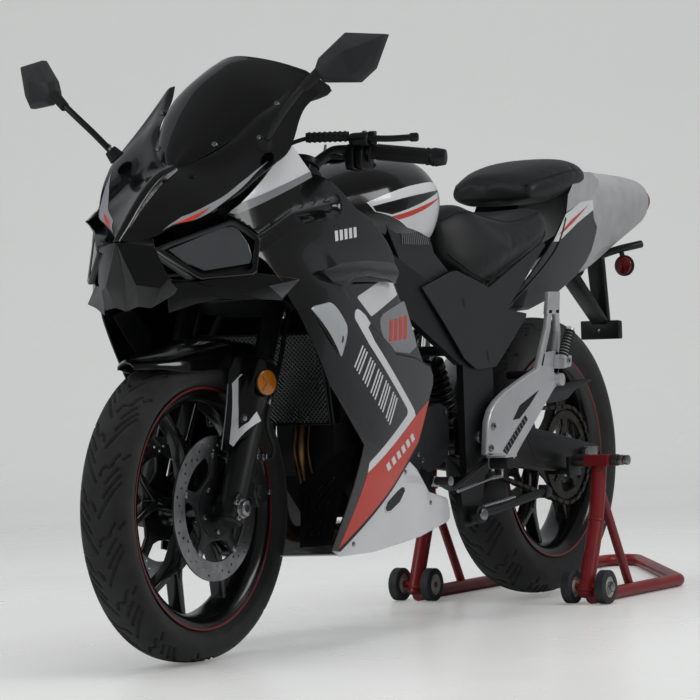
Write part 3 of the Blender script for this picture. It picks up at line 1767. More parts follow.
@dataclass
class SideFairing:
    """Flank panels with their recess, spear, lamps and film graphics, on both sides.

    Attributes:
        skin_outline: Edge of the outer skin, as (back, height) corners like the rest.
        recess_outline: Edge of the panel set in behind the vent.
        spear_outline: Edge of the spear over the vent.
        white_triangle: Edge of the white film under the cockpit.
        grey_edge: Edge of the grey film below it.
        hook: Edge of the white hook round the vent.
        red_wedge: Edge of the red film along the belly.
        red_edge: Edge of its dark hem.
        recess_depth: How far the recess lies inside the flank.
        words: Rows of bars where words would be: name, number, step, inner surface or outer,
            lift, finish, and corners as (back, height, rise for each millimetre of step).
    """

    skin_outline: tuple[Pair, ...] = (
        (-71, 848), (-48, 837), (8, 806), (-22, 772), (-1, 758), (45, 686), (154, 521), (285, 398),
        (194, 199), (219, 194), (421, 305), (557, 385), (630, 472), (662, 505), (665, 520), (655, 538),
        (560, 560), (453, 570), (431, 585), (332, 632), (276, 664), (232, 704),
        (279, 716), (435, 716), (480, 712), (492, 745), (485, 775), (467, 797), (416, 839), (350, 862),
        (308, 892), (269, 915), (197, 931),
    )
    recess_outline: tuple[Pair, ...] = (
        (218, 712), (262, 735), (484, 735), (502, 722), (526, 691), (562, 647), (608, 600), (654, 541),
        (560, 548), (450, 560), (425, 574), (320, 622), (262, 655),
    )
    spear_outline: tuple[Pair, ...] = (
        (144, 737), (242, 753), (345, 757), (451, 755), (488, 750), (476, 712), (435, 720), (340, 727),
        (279, 724), (228, 708), (190, 716),
    )
    white_triangle: tuple[Pair, ...] = ((138, 991), (172, 955), (197, 931), (-30, 868), (40, 915), (95, 955))
    grey_edge: tuple[Pair, ...] = ((197, 931), (199, 920), (-48, 846), (-67, 849), (-30, 868))
    hook: tuple[Pair, ...] = (
        (266, 644), (266, 652), (270, 659), (279, 663), (290, 661), (315, 650), (335, 634), (323, 626),
        (350, 598), (536, 460), (543, 453), (547, 444), (301, 342), (308, 362), (500, 447), (504, 454),
        (500, 461),
        (322, 594),
    )
    red_wedge: tuple[Pair, ...] = (
        (631, 473), (547, 443), (301, 341), (215, 200), (221, 198), (421, 309), (557, 389),
    )
    red_edge: tuple[Pair, ...] = (
        (216, 200), (222, 194), (421, 305), (557, 385), (633, 474), (557, 390), (421, 311)
    )
    recess_depth: float = 15.0
    words: tuple[tuple[object, ...], ...] = (
        ("film_field_bar", 4, 27.0, True, 0.9, RED_PAINT,
         ((455, 596, 0.04), (473, 597, 0.04), (484, 640, 0.1), (466, 638, 0.1))),
        ("film_wedge_bar", 6, 26.0, False, 0.9, WHITE_PAINT,
         ((392, 340, 0.39), (407, 346, 0.39), (395, 359, 0.39), (381, 353, 0.39))),
        ("film_top_bar", 5, 19.0, False, 0.45, WHITE_PAINT,
         ((247, 795, 0.1), (259, 797, 0.1), (264, 817, 0.1), (252, 816, 0.1))),
    )

    def build(self) -> None:
        """Builds the left side, mirrors it, and rides both on the chassis."""
        bodywork = [self._skin(), self._recess(), self._spear()]
        film = self._film()
        left = joined(bodywork + film, "side_fairing_left_shell")
        right = copied(left, "side_fairing_right_shell", MIRROR)
        fit(left, None, "chassis", "gloss_black", "side_fairing_left")
        fit(right, None, "chassis", "gloss_black", "side_fairing_right")
        Lamps().build()

    def _skin(self) -> Piece:
        """Outer black skin with its gutter.

        Returns:
            The piece.
        """
        piece = panel("flank_skin", self.skin_outline, flank(grooved=True), 3.0, 6.5, 0.8)
        return dress(piece, BLACK_PAINT)

    def _recess(self) -> Piece:
        """Panel set in behind the vent, and the vent's wall.

        Returns:
            The piece.
        """
        floor = panel("flank_recess", self.recess_outline, flank(-self.recess_depth), 3.0, 12.0, 0.8)
        dress(floor, BLACK_PAINT)
        edge = ((655, 540), (560, 562), (453, 572), (431, 587), (332, 634), (276, 666), (229, 706))
        outer, inner = flank(), flank(-self.recess_depth - 2.0)
        points = [outer(b, h) for b, h in edge] + [inner(b + 6, h + 4) for b, h in edge]
        count = len(edge)
        faces = [(i, i + 1, count + i + 1, count + i) for i in range(count - 1)]
        wall = facets("flank_vent_wall", points, faces, 2.0, 0.4)
        return joined([floor, dress(wall, TRIM_ABS)], "flank_recess")

    def _spear(self) -> Piece:
        """Raised spear over the vent, with a ridge along its middle.

        Returns:
            The piece.
        """
        ridge = ((150, 738), (300, 742), (486, 733))

        def place(back: float, height: float) -> Triple:
            """Point of the spear's crowned face."""
            rise = 9.0 * max(0.0, 1.0 - near_line(back, height, ridge) / 22.0)
            return (flank_width(back, height) + 2.0 + rise, back, height)

        return dress(panel("flank_spear", self.spear_outline, place, 12.0, 6.0, 1.2), BLACK_PAINT)

    def _film(self) -> list[Piece]:
        """White, grey and red film laid on the panels.

        Returns:
            The pieces.
        """
        outer = flank(0.0, grooved=True)
        inner = flank(-self.recess_depth)
        rectangle = (
            (316, 684), (318, 688), (480, 730), (488, 730), (518, 691), (514, 688), (376, 648), (370, 649)
        )
        grey = ((415, 633), (418, 642), (433, 652), (545, 676), (556, 676), (600, 610), (612, 584),
                (566, 570), (452, 578), (443, 584), (416, 620))
        pieces = [
            dress(panel("film_triangle", self.white_triangle, flank(1.0), 3.0, 12.0, 0.6), WHITE_PAINT),
            dress(panel("film_triangle_edge", self.grey_edge, flank(1.6), 3.0, 12.0), GREY_PAINT),
            dress(panel("film_hook", self.hook, outer, 0.5, 9.0, lift=0.45), WHITE_PAINT),
            dress(panel("film_red_wedge", self.red_wedge, outer, 0.5, 9.0, lift=0.4), RED_PAINT),
            dress(panel("film_red_edge", self.red_edge, outer, 0.6, 9.0, lift=0.5), TRIM_ABS),
            dress(panel("film_rectangle", rectangle, inner, 0.5, 12.0, lift=0.4), WHITE_PAINT),
            dress(panel("film_grey_field", grey, inner, 0.5, 12.0, lift=0.4), GREY_PAINT),
        ]
        pieces += self._bars(inner, outer)
        return pieces

    def _bars(self, inner: Place, outer: Place) -> list[Piece]:
        """Plain bars where a maker would put words.

        Args:
            inner: The recessed panel's surface.
            outer: The outer skin's surface.

        Returns:
            The bars.
        """
        bars = []
        for row in range(5):
            for line in range(3):
                # each bar runs across the word's height, and the rows go down its length
                step = row * 33.0 + line * 8.6
                low = (253.0 + step, 551.0 - step * 0.79)
                high = (294.0 + step * 1.03, 592.0 - step * 0.72)
                width = 2.1
                outline = ((low[0] - width, low[1]), (low[0] + width, low[1] - width),
                           (high[0] + width, high[1] - width), (high[0] - width, high[1]))
                bar = panel(f"film_bar_{row}_{line}", outline, outer, 0.5, 14.0, lift=0.45)
                bars.append(dress(bar, WHITE_PAINT))
        for name, number, pitch, inside, lift, finish, corners in self.words:
            for line in range(number):
                step = line * pitch
                outline = [(back + step, height + step * slope) for back, height, slope in corners]
                surface = inner if inside else outer
                bar = panel(f"{name}_{line}", outline, surface, 0.5, 14.0, lift=lift)
                bars.append(dress(bar, finish))
        return bars


@dataclass
class Lamps:
    """Headlamps in deep rims and clear lamps let into the flanks.

    Attributes:
        face_start: (x, back) of the headlamp face's inner end.
        face_end: The same of its outer end.
        rim: Edge of the headlamp's rim, as (distance along the face, height).
        lens: Edge of its lens, in the same.
        flank_lamp: Edge of the lamp in the flank, as (back, height).
    """

    face_start: Pair = (60.0, -171.0)
    face_end: Pair = (190.0, -14.0)
    rim: tuple[Pair, ...] = (
        (5, 784), (20, 792), (155, 836), (166, 834), (208, 803), (210, 796), (198, 738), (190, 733),
        (88, 727), (78, 731),
    )
    lens: tuple[Pair, ...] = (
        (31, 783), (136, 822), (160, 824), (168, 820), (186, 790), (192, 766), (186, 754), (96, 743),
        (58, 760),
    )
    flank_lamp: tuple[Pair, ...] = (
        (99, 666), (112, 671), (158, 677), (172, 673), (189, 662), (223, 632), (225, 622), (221, 610),
        (200, 574), (196, 572),
    )

    def face(self, out: float) -> Place:
        """Upright plane of the headlamp, bowed a little.

        Args:
            out: Distance in front of the plane.

        Returns:
            A function from (distance along the face, height) to a point.
        """
        run = (self.face_end[0] - self.face_start[0], self.face_end[1] - self.face_start[1])
        size = sqrt(run[0] ** 2 + run[1] ** 2)
        along = (run[0] / size, run[1] / size)

        def place(s: float, height: float) -> Triple:
            """Point of the face."""
            bow = 7.0 * (1.0 - ((s - 105.0) / 110.0) ** 2) - 0.16 * (height - 770.0)
            reach = out + bow
            return (
                self.face_start[0] + along[0] * s + along[1] * reach,
                self.face_start[1] + along[1] * s - along[0] * reach,
                height,
            )

        return place

    def build(self) -> None:
        """Builds the lamps on both sides."""
        guide_low = ((62, 757), (96, 746), (112, 748), (80, 765))
        guide_high = ((134, 816), (158, 820), (182, 790), (176, 788), (154, 810), (134, 808))
        pieces = [
            dress(panel("headlamp_box", self.rim, self.face(-14.0), 40.0, 14.0, 1.0), TRIM_ABS),
            dress(self._rim(), BLACK_PAINT),
            dress(panel("headlamp_bowl", self.lens, self.face(-9.0), 2.0, 8.0), MATTE_ABS),
            dress(panel("headlamp_guide_low", guide_low, self.face(-4.0), 2.0, 8.0, 0.4), CLEAR_LENS),
            dress(panel("headlamp_guide_high", guide_high, self.face(-4.0), 2.0, 8.0, 0.4), CLEAR_LENS),
            dress(panel("headlamp_lens", self.lens, self.face(0.0), 2.4, 8.0, 0.6), SMOKED_LENS),
        ]
        pieces += self._bulbs()
        pieces += self._flank_lamp()
        lamps = twins(joined(pieces, "lamp_left"), "lamp_pair")
        fit(lamps, None, "chassis", "lens", "lamps")

    def _rim(self) -> Piece:
        """Raised rim round the headlamp, as one folded band.

        Returns:
            The piece.
        """
        count = len(self.rim)
        middle = (sum(p[0] for p in self.rim) / count, sum(p[1] for p in self.rim) / count)
        inner = [
            (s + (middle[0] - s) * 0.13, h + (middle[1] - h) * 0.16) for s, h in self.rim
        ]
        rings = [
            [self.face(-20.0)(s, h) for s, h in self.rim],
            [self.face(3.0)(s, h) for s, h in self.rim],
            [self.face(5.0)(s + (middle[0] - s) * 0.03, h + (middle[1] - h) * 0.04) for s, h in self.rim],
            [self.face(2.0)(s, h) for s, h in inner],
            [self.face(-8.0)(s, h) for s, h in inner],
        ]
        points = [point for ring in rings for point in ring]
        faces = [
            (
                r * count + i, r * count + (i + 1) % count, (r + 1) * count + (i + 1) % count,
                (r + 1) * count + i,
            )
            for r in range(len(rings) - 1)
            for i in range(count)
        ]
        return facets("headlamp_rim", points, faces, 1.5, 0.8)

    def _bulbs(self) -> list[Piece]:
        """Two projector bowls behind the headlamp's lens.

        Returns:
            The pieces.
        """
        bulbs = []
        for s, height, radius in ((150.0, 784.0, 17.0), (108.0, 778.0, 15.0)):
            start, end = self.face(-9.0)(s, height), self.face(-4.5)(s, height)
            ring = drum("headlamp_bowl_ring", start, end, radius, radius - 3.0, 28, 0.8)
            bulbs.append(dress(ring, CHROME_BOWL))
        return bulbs

    def _flank_lamp(self) -> list[Piece]:
        """Clear lamp with its bright bowl and three cells.

        Returns:
            The pieces.
        """
        middle = (165.0, 632.0)

        def crowned(back: float, height: float) -> Triple:
            """Point of the lamp's bowed lens."""
            far = sqrt((back - middle[0]) ** 2 + (height - middle[1]) ** 2)
            return (flank_width(back, height) + 1.0 + 7.0 * max(0.0, 1.0 - (far / 75.0) ** 2), back, height)

        inner = tuple(
            (b + (middle[0] - b) * 0.16, h + (middle[1] - h) * 0.14) for b, h in self.flank_lamp
        )
        pieces = [
            dress(panel("flank_lamp_bowl", self.flank_lamp, flank(0.8), 6.0, 8.0, 0.6), CHROME_BOWL),
            dress(panel("flank_lamp_lens", self.flank_lamp, crowned, 2.0, 8.0, 0.8), CLEAR_LENS),
            dress(panel("flank_lamp_frame", inner, flank(1.4), 1.0, 8.0, 0.3), MATTE_ABS),
        ]
        for back, height, radius in ((152.0, 655.0, 13.0), (176.0, 632.0, 13.0), (196.0, 606.0, 12.0)):
            x = flank_width(back, height)
            cell = level_drum(
                "flank_lamp_cell", x + 1.5, x + 6.0, (back, height), radius, radius * 0.7, 6, 1.0
            )
            pieces.append(dress(cell, CHROME_BOWL))
        return pieces


@dataclass
class BellyPan:
    """White belly pan with an oval opening, and the louvred black panel ahead of it.

    Attributes:
        outline: Edge of one side, as (back, height) corners.
        oval: Edge of its opening.
    """

    outline: tuple[Pair, ...] = (
        (205, 196), (225, 198), (421, 306), (521, 352), (560, 335), (633, 284), (726, 268), (742, 262),
        (753, 240), (753, 224), (742, 216), (591, 196), (350, 183), (230, 184),
    )
    oval: tuple[Pair, ...] = (
        (394, 268), (402, 279), (447, 297), (474, 305), (492, 303), (496, 294), (471, 273), (424, 258),
        (400, 259),
    )

    def build(self) -> None:
        """Builds both sides, the floor between them and the louvred panel."""
        side = dress(panel("belly_side", self.outline, flank(-5.0), 3.0, 14.0, 1.0), WHITE_PAINT)
        hole = dress(panel("belly_opening", self.oval, flank(-4.4), 0.6, 10.0), MATTE_ABS)
        rim = round_bar("belly_opening_rim", [flank(-4.6)(b, h) for b, h in self.oval + self.oval[:1]], 1.8)
        pieces = [side, hole, dress(rim, WHITE_PAINT)]
        for back, height in ((494, 333), (275, 205), (640, 262)):
            x = flank_width(back, height) - 5.0
            screw = level_drum("belly_screw", x - 2, x + 2.2, (back, height), 5.5, 4.6, 20, 0.8)
            pieces.append(dress(screw, ZINC_STEEL))
        pair = twins(joined(pieces, "belly_left"), "belly_pair")
        half = [
            [(0, b + 6, z - 5), (70, b + 4, z - 3), (flank_width(b, z) - 9, b, z)]
            for b, z in ((232, 187), (350, 184), (480, 190), (591, 197), (740, 217))
        ]
        floor = dress(Patch(whole_rows(half)).mesh("belly_floor", 2.5, 3), WHITE_PAINT)
        fit(joined([pair, floor], "belly_pan_shell"), None, "chassis", "white_plastic", "belly_pan")
        self._chin()

    def _chin(self) -> None:
        """Black panels that turn in towards the exhaust, with raised louvres."""
        rows = [
            [(205, 296, 402), (150, 300, 376), (100, 303, 345), (60, 306, 318)],
            [(190, 259, 310), (140, 280, 296), (100, 295, 282), (60, 309, 268)],
            [(172, 240, 212), (130, 264, 204), (96, 282, 199), (62, 299, 195)],
        ]
        patch = Patch(rows)
        sheet = dress(patch.mesh("chin_sheet", 2.5, 8), TRIM_ABS)
        pieces = [sheet]
        shape = ((0, 0), (0.07, 0.0), (0.19, 0.52), (0.11, 0.52))
        for column in range(3):
            for row in range(5):
                u0 = 0.55 + row * 0.26
                v0 = 0.75 + column * 0.72
                corners = [patch.point(u0 + du, v0 + dv) for du, dv in shape]
                raised = [(x + 1, b - 1.5, z) for x, b, z in corners]
                louvre = facets("chin_louvre", raised, [(0, 1, 2, 3)], 3.0, 0.8)
                pieces.append(dress(louvre, BLACK_PAINT))
        fit(twins(joined(pieces, "chin_left"), "chin_panels"), None, "chassis", "gloss_black")


@dataclass
class NoseCowl:
    """Beaked upper cowl with its spine, ears, winglets, chin and film swooshes.

    Attributes:
        cowl: The left half's surface, row by row from the beak's tip to the ear's, and in
            each row from the middle plane outwards.
    """

    cowl: Patch = field(
        default_factory=lambda: Patch(
            [
                [(0, -200, 803), (5, -198, 803), (9, -196, 802), (13, -193, 801), (17, -190, 799)],
                [(0, -168, 829), (12, -165, 828), (24, -157, 821), (34, -149, 814), (42, -142, 808)],
                [(0, -130, 862), (15, -127, 860), (38, -120, 848), (60, -116, 836), (74, -117, 827)],
                [(0, -90, 893), (18, -86, 890), (54, -80, 874), (86, -84, 852), (103, -88, 836)],
                [(0, -50, 919), (22, -44, 917), (70, -40, 898), (110, -54, 872), (129, -72, 851)],
                [(0, -14, 939), (28, -4, 940), (86, 0, 922), (128, -20, 893), (144, -52, 867)],
                [(52, 24, 962), (72, 28, 962), (104, 30, 944), (142, 8, 918), (164, -19, 890)],
                [(90, 76, 1000), (108, 74, 996), (134, 66, 976), (162, 42, 946), (178, 10, 914)],
                [(112, 120, 1038), (130, 116, 1031), (152, 106, 1008), (180, 80, 974), (194, 49, 941)],
                [(126, 160, 1062), (144, 156, 1057), (164, 148, 1038), (190, 122, 1003), (204, 90, 970)],
                [(136, 196, 1090), (152, 192, 1085), (168, 186, 1070), (181, 176, 1056), (186, 170, 1046)],
                [(146, 222, 1119), (158, 222, 1116), (166, 222, 1110), (176, 223, 1100), (192, 224, 1082)],
            ]
        )
    )

    def build(self) -> None:
        """Builds the cowl and what is fixed to it."""
        half = [
            dress(self.cowl.mesh("cowl_half", 2.5, 6), BLACK_PAINT),
            *self._swoosh(),
            self._mirror_boot(),
            dress(self._winglet(), BLACK_PAINT),
            self._winglet_tip(),
            dress(self._cheek(), BLACK_PAINT),
            self._liner(),
        ]
        cowl = twins(joined(half, "cowl_left"), "cowl_pair")
        spine = dress(self._spine(), BLACK_PAINT)
        fit(joined([cowl, spine], "nose_cowl_shell"), None, "chassis", "gloss_black", "nose_cowl")

    def _spine(self) -> Piece:
        """Raised dark spine from the beak's tip to the screen.

        Returns:
            The piece.
        """
        rows = []
        for u, (wide, rise) in enumerate(((6, 1.0), (9, 5.0), (10, 8.0), (11, 10.0), (13, 10.0), (15, 6.0))):
            _, back, height = self.cowl.point(float(u), 0.0)
            rows.append(
                [(0, back - rise * 0.6, height + rise * 1.4),
                 (wide * 0.78, back - rise * 0.5, height + rise), (wide, back + 1, height - 2)]
            )
        return Patch(whole_rows(rows)).mesh("cowl_spine", 2.0, 5)

    def _swoosh(self) -> list[Piece]:
        """Grey film along the cowl's lower edge with a red dart in it.

        Returns:
            The pieces.
        """

        def place(u: float, v: float) -> Triple:
            """Point just off the cowl, from hundredths of a row and of a place."""
            x, back, height = self.cowl.point(u / 100.0, v / 100.0)
            return (x + 0.8, back - 1.8, height + 1.5)

        def over(u: float, v: float) -> Triple:
            """Point just off the film."""
            x, back, height = place(u, v)
            return (x + 0.2, back - 0.5, height + 0.4)

        grey = (
            (150, 380), (260, 310), (450, 330), (640, 345), (760, 350), (650, 375), (500, 392), (380, 396)
        )
        red = ((190, 378), (290, 345), (400, 352), (330, 375), (270, 390))
        film = panel("cowl_swoosh", grey, place, 0.4, 14.0)
        dart = panel("cowl_dart", red, over, 0.4, 14.0)
        return [dress(film, GREY_PAINT), dress(dart, RED_PAINT)]

    def _mirror_boot(self) -> Piece:
        """Rubber foot and two bolts that hold the mirror's stem.

        Returns:
            The piece.
        """
        foot = drum("mirror_foot", (170, 52, 972), (181, 42, 990), 17.0, 12.0, 24, 2.5)
        dress(foot, SOFT_RUBBER)
        heads = []
        for x, back, height in ((172, 34, 990), (186, 50, 996)):
            bolt = drum("mirror_bolt", (x, back, height), (x + 1.5, back - 4, height + 4), 4.5, None, 6, 0.8)
            heads.append(dress(bolt, ZINC_STEEL))
        return joined([foot, *heads], "mirror_boot")

    def _winglet(self) -> Piece:
        """Deep blade under the headlamp with a shelf that meets it.

        Returns:
            The piece.
        """
        points = [
            (71, -148, 748), (77, -138, 721), (115, -112, 722), (189, -19, 735), (233, 60, 722),
            (214, 26, 684), (194, -11, 687), (152, -88, 690), (113, -116, 682), (73, -144, 667),
            (66, -132, 728), (108, -98, 726), (186, -17, 736), (192, 30, 730),
            (66, -124, 700), (116, -86, 700), (176, 0, 700), (190, 40, 700),
        ]
        faces = [
            (0, 9, 8, 1), (1, 8, 7, 2), (2, 7, 6), (2, 6, 3), (3, 6, 5), (3, 5, 4),
            (0, 1, 10), (1, 2, 11, 10), (2, 3, 12, 11), (3, 4, 13, 12),
            (9, 14, 15, 8), (8, 15, 7), (7, 15, 16, 6), (6, 16, 5), (5, 16, 17), (5, 17, 4),
        ]
        return facets("winglet", points, faces, 2.5, 1.2)

    def _liner(self) -> Piece:
        """Black inner panel that closes the gap under the cowl's lower edge.

        Returns:
            The piece.
        """
        drops = ((4, 6, 2), (14, 26, 30), (34, 44, 80))  # inwards, back and down from the cowl's edge
        rows = []
        for u in range(2, 8):
            x, back, height = self.cowl.point(float(u), 3.8)
            rows.append([(x - inwards, back + aft, height - down) for inwards, aft, down in drops])
        return dress(Patch(rows).mesh("cowl_liner", 2.0, 3), TRIM_ABS)

    def _winglet_tip(self) -> Piece:
        """Grey facet at the blade's rear end.

        Returns:
            The piece.
        """
        tip = facets("winglet_tip", [(203, 2, 711), (233.5, 60, 721), (215, 25, 687)], [(0, 1, 2)], 3.0, 0.4)
        return dress(tip, SMOKED_LENS)

    def _cheek(self) -> Piece:
        """Facets between the beak, the headlamp and the chin.

        Returns:
            The piece.
        """
        points = [
            (0, -200, 800), (17, -191, 799), (42, -142, 806), (63, -168, 790), (80, -150, 730),
            (66, -160, 712), (34, -190, 720), (0, -178, 724), (0, -176, 672), (26, -172, 680),
            (70, -150, 700), (12, -196, 770), (52, -170, 676), (88, -128, 706),
        ]
        faces = [
            (0, 1, 11), (1, 2, 3), (1, 3, 11), (11, 3, 4), (11, 4, 5, 6), (0, 11, 6, 7),
            (7, 6, 9, 8), (6, 5, 12, 9), (5, 4, 13, 12),
        ]
        return facets("cheek", points, faces, 2.5, 1.5)


@dataclass
class Windscreen:
    """Dark bubble screen with its screws.

    Attributes:
        half: Rows of the left half from the foot up, each from the middle plane outwards.
    """

    half: tuple[tuple[Triple, ...], ...] = (
        ((0, -16, 937), (3, -15, 938), (7, -13, 938), (10, -11, 938)),
        ((0, 16, 974), (22, 18, 977), (44, 24, 975), (62, 32, 971)),
        ((0, 54, 1022), (36, 58, 1021), (72, 68, 1015), (96, 86, 1006)),
        ((0, 100, 1073), (48, 104, 1069), (92, 116, 1056), (120, 140, 1038)),
        ((0, 146, 1118), (52, 151, 1112), (102, 170, 1093), (148, 212, 1062)),
        ((0, 190, 1150), (50, 200, 1143), (100, 234, 1124), (158, 320, 1094)),
        ((0, 224, 1167), (40, 234, 1162), (82, 262, 1150), (118, 292, 1134)),
    )

    def build(self) -> None:
        """Builds the screen, its hem and its screws."""
        patch = Patch(whole_rows(self.half))
        screen = dress(patch.mesh("screen_bubble", 3.0, 6), SMOKED_SCREEN)
        hem_points = [patch.point(u / 4.0, 6.0) for u in range(0, 25)]
        hem = [
            round_bar(f"screen_hem_{side}", [(side * x, b, z) for x, b, z in hem_points], 1.8)
            for side in (1, -1)
        ]
        top = round_bar("screen_hem_top", [patch.point(6.0, v / 4.0) for v in range(0, 25)], 1.8)
        for piece in (*hem, top):
            dress(piece, TRIM_ABS)
        screws = []
        for x, back, height in ((65, 42, 984), (133, 160, 1062)):
            for side in (1, -1):
                foot = (side * x, back, height)
                head = (side * (x + 1.4), back - 4.5, height + 3.5)
                screws.append(dress(drum("screen_screw", foot, head, 6.5, 5.0, 20, 1.0), ZINC_STEEL))
        fit(
            joined([screen, *hem, top, *screws], "windscreen_bubble"),
            None,
            "chassis",
            "screen",
            "windscreen",
        )


@dataclass
class Mirrors:
    """Faceted mirrors on slim stems.

    Attributes:
        outline: Edge of the left mirror's shell where it is widest.
    """

    outline: tuple[Triple, ...] = (
        (297, 34, 1106), (306, 38, 1132), (352, 62, 1178), (425, 86, 1171), (404, 72, 1108), (380, 56, 1083),
        (318, 36, 1086),
    )

    def build(self) -> None:
        """Builds both mirrors."""
        count = len(self.outline)
        middle = tuple(sum(p[i] for p in self.outline) / count for i in range(3))
        back_ring = [(x, b + 16, z) for x, b, z in self.outline]
        front_ring = [
            (x + (middle[0] - x) * 0.22, b - 13 + (middle[1] - b) * 0.2, z + (middle[2] - z) * 0.22)
            for x, b, z in self.outline
        ]
        ridge = (362, 28, 1138)
        points = list(back_ring) + list(self.outline) + front_ring + [ridge]
        faces = [tuple(reversed(range(count)))]
        for i in range(count):
            j = (i + 1) % count
            faces.append((i, j, count + j, count + i))
            faces.append((count + i, count + j, 2 * count + j, 2 * count + i))
            faces.append((2 * count + i, 2 * count + j, 3 * count))
        shell = dress(facets("mirror_shell", points, faces, 0.0, 1.4), MATTE_ABS)
        glass_ring = [
            (x + (middle[0] - x) * 0.06, b + 16.6, z + (middle[2] - z) * 0.06)
            for x, b, z in self.outline
        ]
        glass = dress(facets("mirror_glass", glass_ring, [tuple(range(count))], 0.8, 0.0), CHROME_BOWL)
        stem_points = [(178, 46, 984), (206, 38, 1016), (248, 30, 1056), (282, 30, 1086), (306, 38, 1102)]
        stem = dress(round_bar("mirror_stem", stem_points, 6.5, 6, True), TRIM_ABS)
        neck = dress(drum("mirror_neck", (276, 30, 1078), (308, 38, 1106), 9.5, 11.0, 24, 1.5), SOFT_RUBBER)
        pair = twins(joined([shell, glass, stem, neck], "mirror_left"), "mirror_pair")
        fit(pair, None, "chassis", "dark_cover", "mirrors")


# ================================================================ tank, seats and tail
@dataclass
class Tank:
    """Fuel tank with its flashes, filler cap and the ribbed trim under it.

    Attributes:
        half: Rows of the left half from the steering head back, each from the top's middle down.
        middle: (back, height) of the point that the film grows away from.
        reach: Half length, width and height that the growth is shared over.
        clear: Gap of the film to the shell, in millimetres.
        cap_back: The filler cap's axis, behind the front axle.
    """

    half: tuple[tuple[Triple, ...], ...] = (
        ((0, 425, 925), (38, 425, 922), (70, 425, 912), (92, 425, 892), (100, 425, 868), (98, 425, 846),
         (88, 425, 834), (70, 425, 826)),
        ((0, 540, 964), (56, 540, 961), (104, 540, 950), (140, 540, 926), (156, 540, 894), (158, 540, 856),
         (148, 540, 826), (128, 540, 808)),
        ((0, 660, 978), (60, 660, 976), (112, 660, 964), (148, 660, 934), (160, 660, 898), (158, 660, 856),
         (146, 656, 818), (128, 650, 790)),
        ((0, 745, 974), (58, 745, 971), (104, 745, 957), (134, 745, 926), (146, 745, 890), (142, 742, 850),
         (132, 728, 812), (112, 715, 784)),
        ((0, 806, 948), (48, 806, 945), (86, 804, 931), (110, 800, 906), (120, 796, 880), (122, 780, 846),
         (118, 760, 814), (100, 740, 788)),
        ((0, 846, 905), (34, 846, 902), (62, 842, 892), (82, 836, 876), (92, 826, 860), (98, 810, 836),
         (98, 790, 812), (84, 770, 790)),
    )
    middle: Pair = (640.0, 860.0)
    reach: Triple = (140.0, 230.0, 110.0)
    clear: float = 1.7
    cap_back: float = 600.0

    def build(self) -> None:
        """Builds the tank and rides it on the chassis."""
        patch = Patch(self.half)
        shell = dress(Patch(whole_rows(self.half)).mesh("tank_shell", 3.0, 5), BLACK_PAINT)

        def place(lift: float) -> Place:
            """Surface in hundredths of a row and of a place.

            Args:
                lift: Distance outside the shell.

            Returns:
                The surface.
            """

            def point(u: float, v: float) -> Triple:
                """Point of the surface."""
                x, back, height = patch.point(u / 100.0, v / 100.0)
                wide, long, tall = (1.0 + (lift + self.clear) / share for share in self.reach)
                return (
                    x * wide,
                    self.middle[0] + (back - self.middle[0]) * long,
                    self.middle[1] + (height - self.middle[1]) * tall,
                )

            return point

        black_gap = ((60, 447), (107, 436), (205, 402), (332, 345), (205, 440), (98, 508), (66, 480))
        red = ((98, 521), (205, 458), (318, 390), (214, 473), (118, 540))
        white = ((50, 416), (79, 400), (157, 364), (214, 343), (321, 303), (410, 280), (470, 270),
                 (440, 610), (357, 612), (250, 604), (150, 581), (100, 523), (64, 482))
        film = [
            dress(panel("tank_white", white, place(0.0), 0.5, 14.0), WHITE_PAINT),
            dress(panel("tank_gap", black_gap, place(0.5), 0.5, 14.0), BLACK_PAINT),
            dress(panel("tank_red", red, place(0.5), 0.5, 14.0), RED_PAINT),
            *self._trim(),
        ]
        sides = twins(joined(film, "tank_film"), "tank_film_pair")
        fit(joined([shell, sides, *self._cap()], "tank_body"), None, "chassis", "gloss_black", "tank")

    def _trim(self) -> list[Piece]:
        """Matte frame cover under the tank with its ribbed upper part.

        Returns:
            The pieces.
        """

        def side(back: float, height: float) -> Triple:
            """Point of the cover's face."""
            return (150.0 - 0.02 * (back - 560) - 0.04 * (850 - height), back, height)

        def rib_side(back: float, height: float) -> Triple:
            """Point of the ribbed part's face."""
            return (side(back, height)[0] + 1.5, back, height)

        cover = (
            (520, 862), (560, 845), (600, 829), (715, 800), (728, 776), (790, 738), (661, 700), (600, 740),
            (530, 830),
        )
        ribbed = ((575, 838), (600, 830), (712, 806), (706, 795), (655, 786), (606, 795), (585, 812))
        pieces = [
            dress(panel("frame_cover", cover, side, 3.0, 16.0, 1.0), MATTE_ABS),
            dress(panel("frame_cover_ribbed", ribbed, rib_side, 1.5, 12.0), TWILL_FILM),
        ]
        for rib in range(14):
            back = 590.0 + rib * 8.4
            low = rib_side(back + 4, 793.0)
            high = rib_side(back - 3, 832.0 - (back - 590) * 0.23)
            pieces.append(dress(round_bar(f"frame_cover_rib_{rib}", [low, high], 1.0, 6), GREY_PAINT))
        return pieces

    def _cap(self) -> list[Piece]:
        """Filler cap with its ring of screws.

        Returns:
            The pieces.
        """
        ring = spun_up("cap_ring", ((46, 973), (46, 978), (40, 981), (30, 981), (29, 979)), self.cap_back)
        lid = spun_up("cap_lid", ((29, 979), (28, 983), (12, 984.5), (0, 984.5)), self.cap_back)
        pieces = [dress(ring, ZINC_STEEL), dress(lid, BLACK_METAL)]
        for step in range(6):
            angle = step * pi / 3.0
            x, back = 38 * cos(angle), self.cap_back + 38 * sin(angle)
            screw = drum(f"cap_screw_{step}", (x, back, 979), (x, back, 982.5), 3.2, 2.6, 12, 0.4)
            pieces.append(dress(screw, ZINC_STEEL))
        return pieces


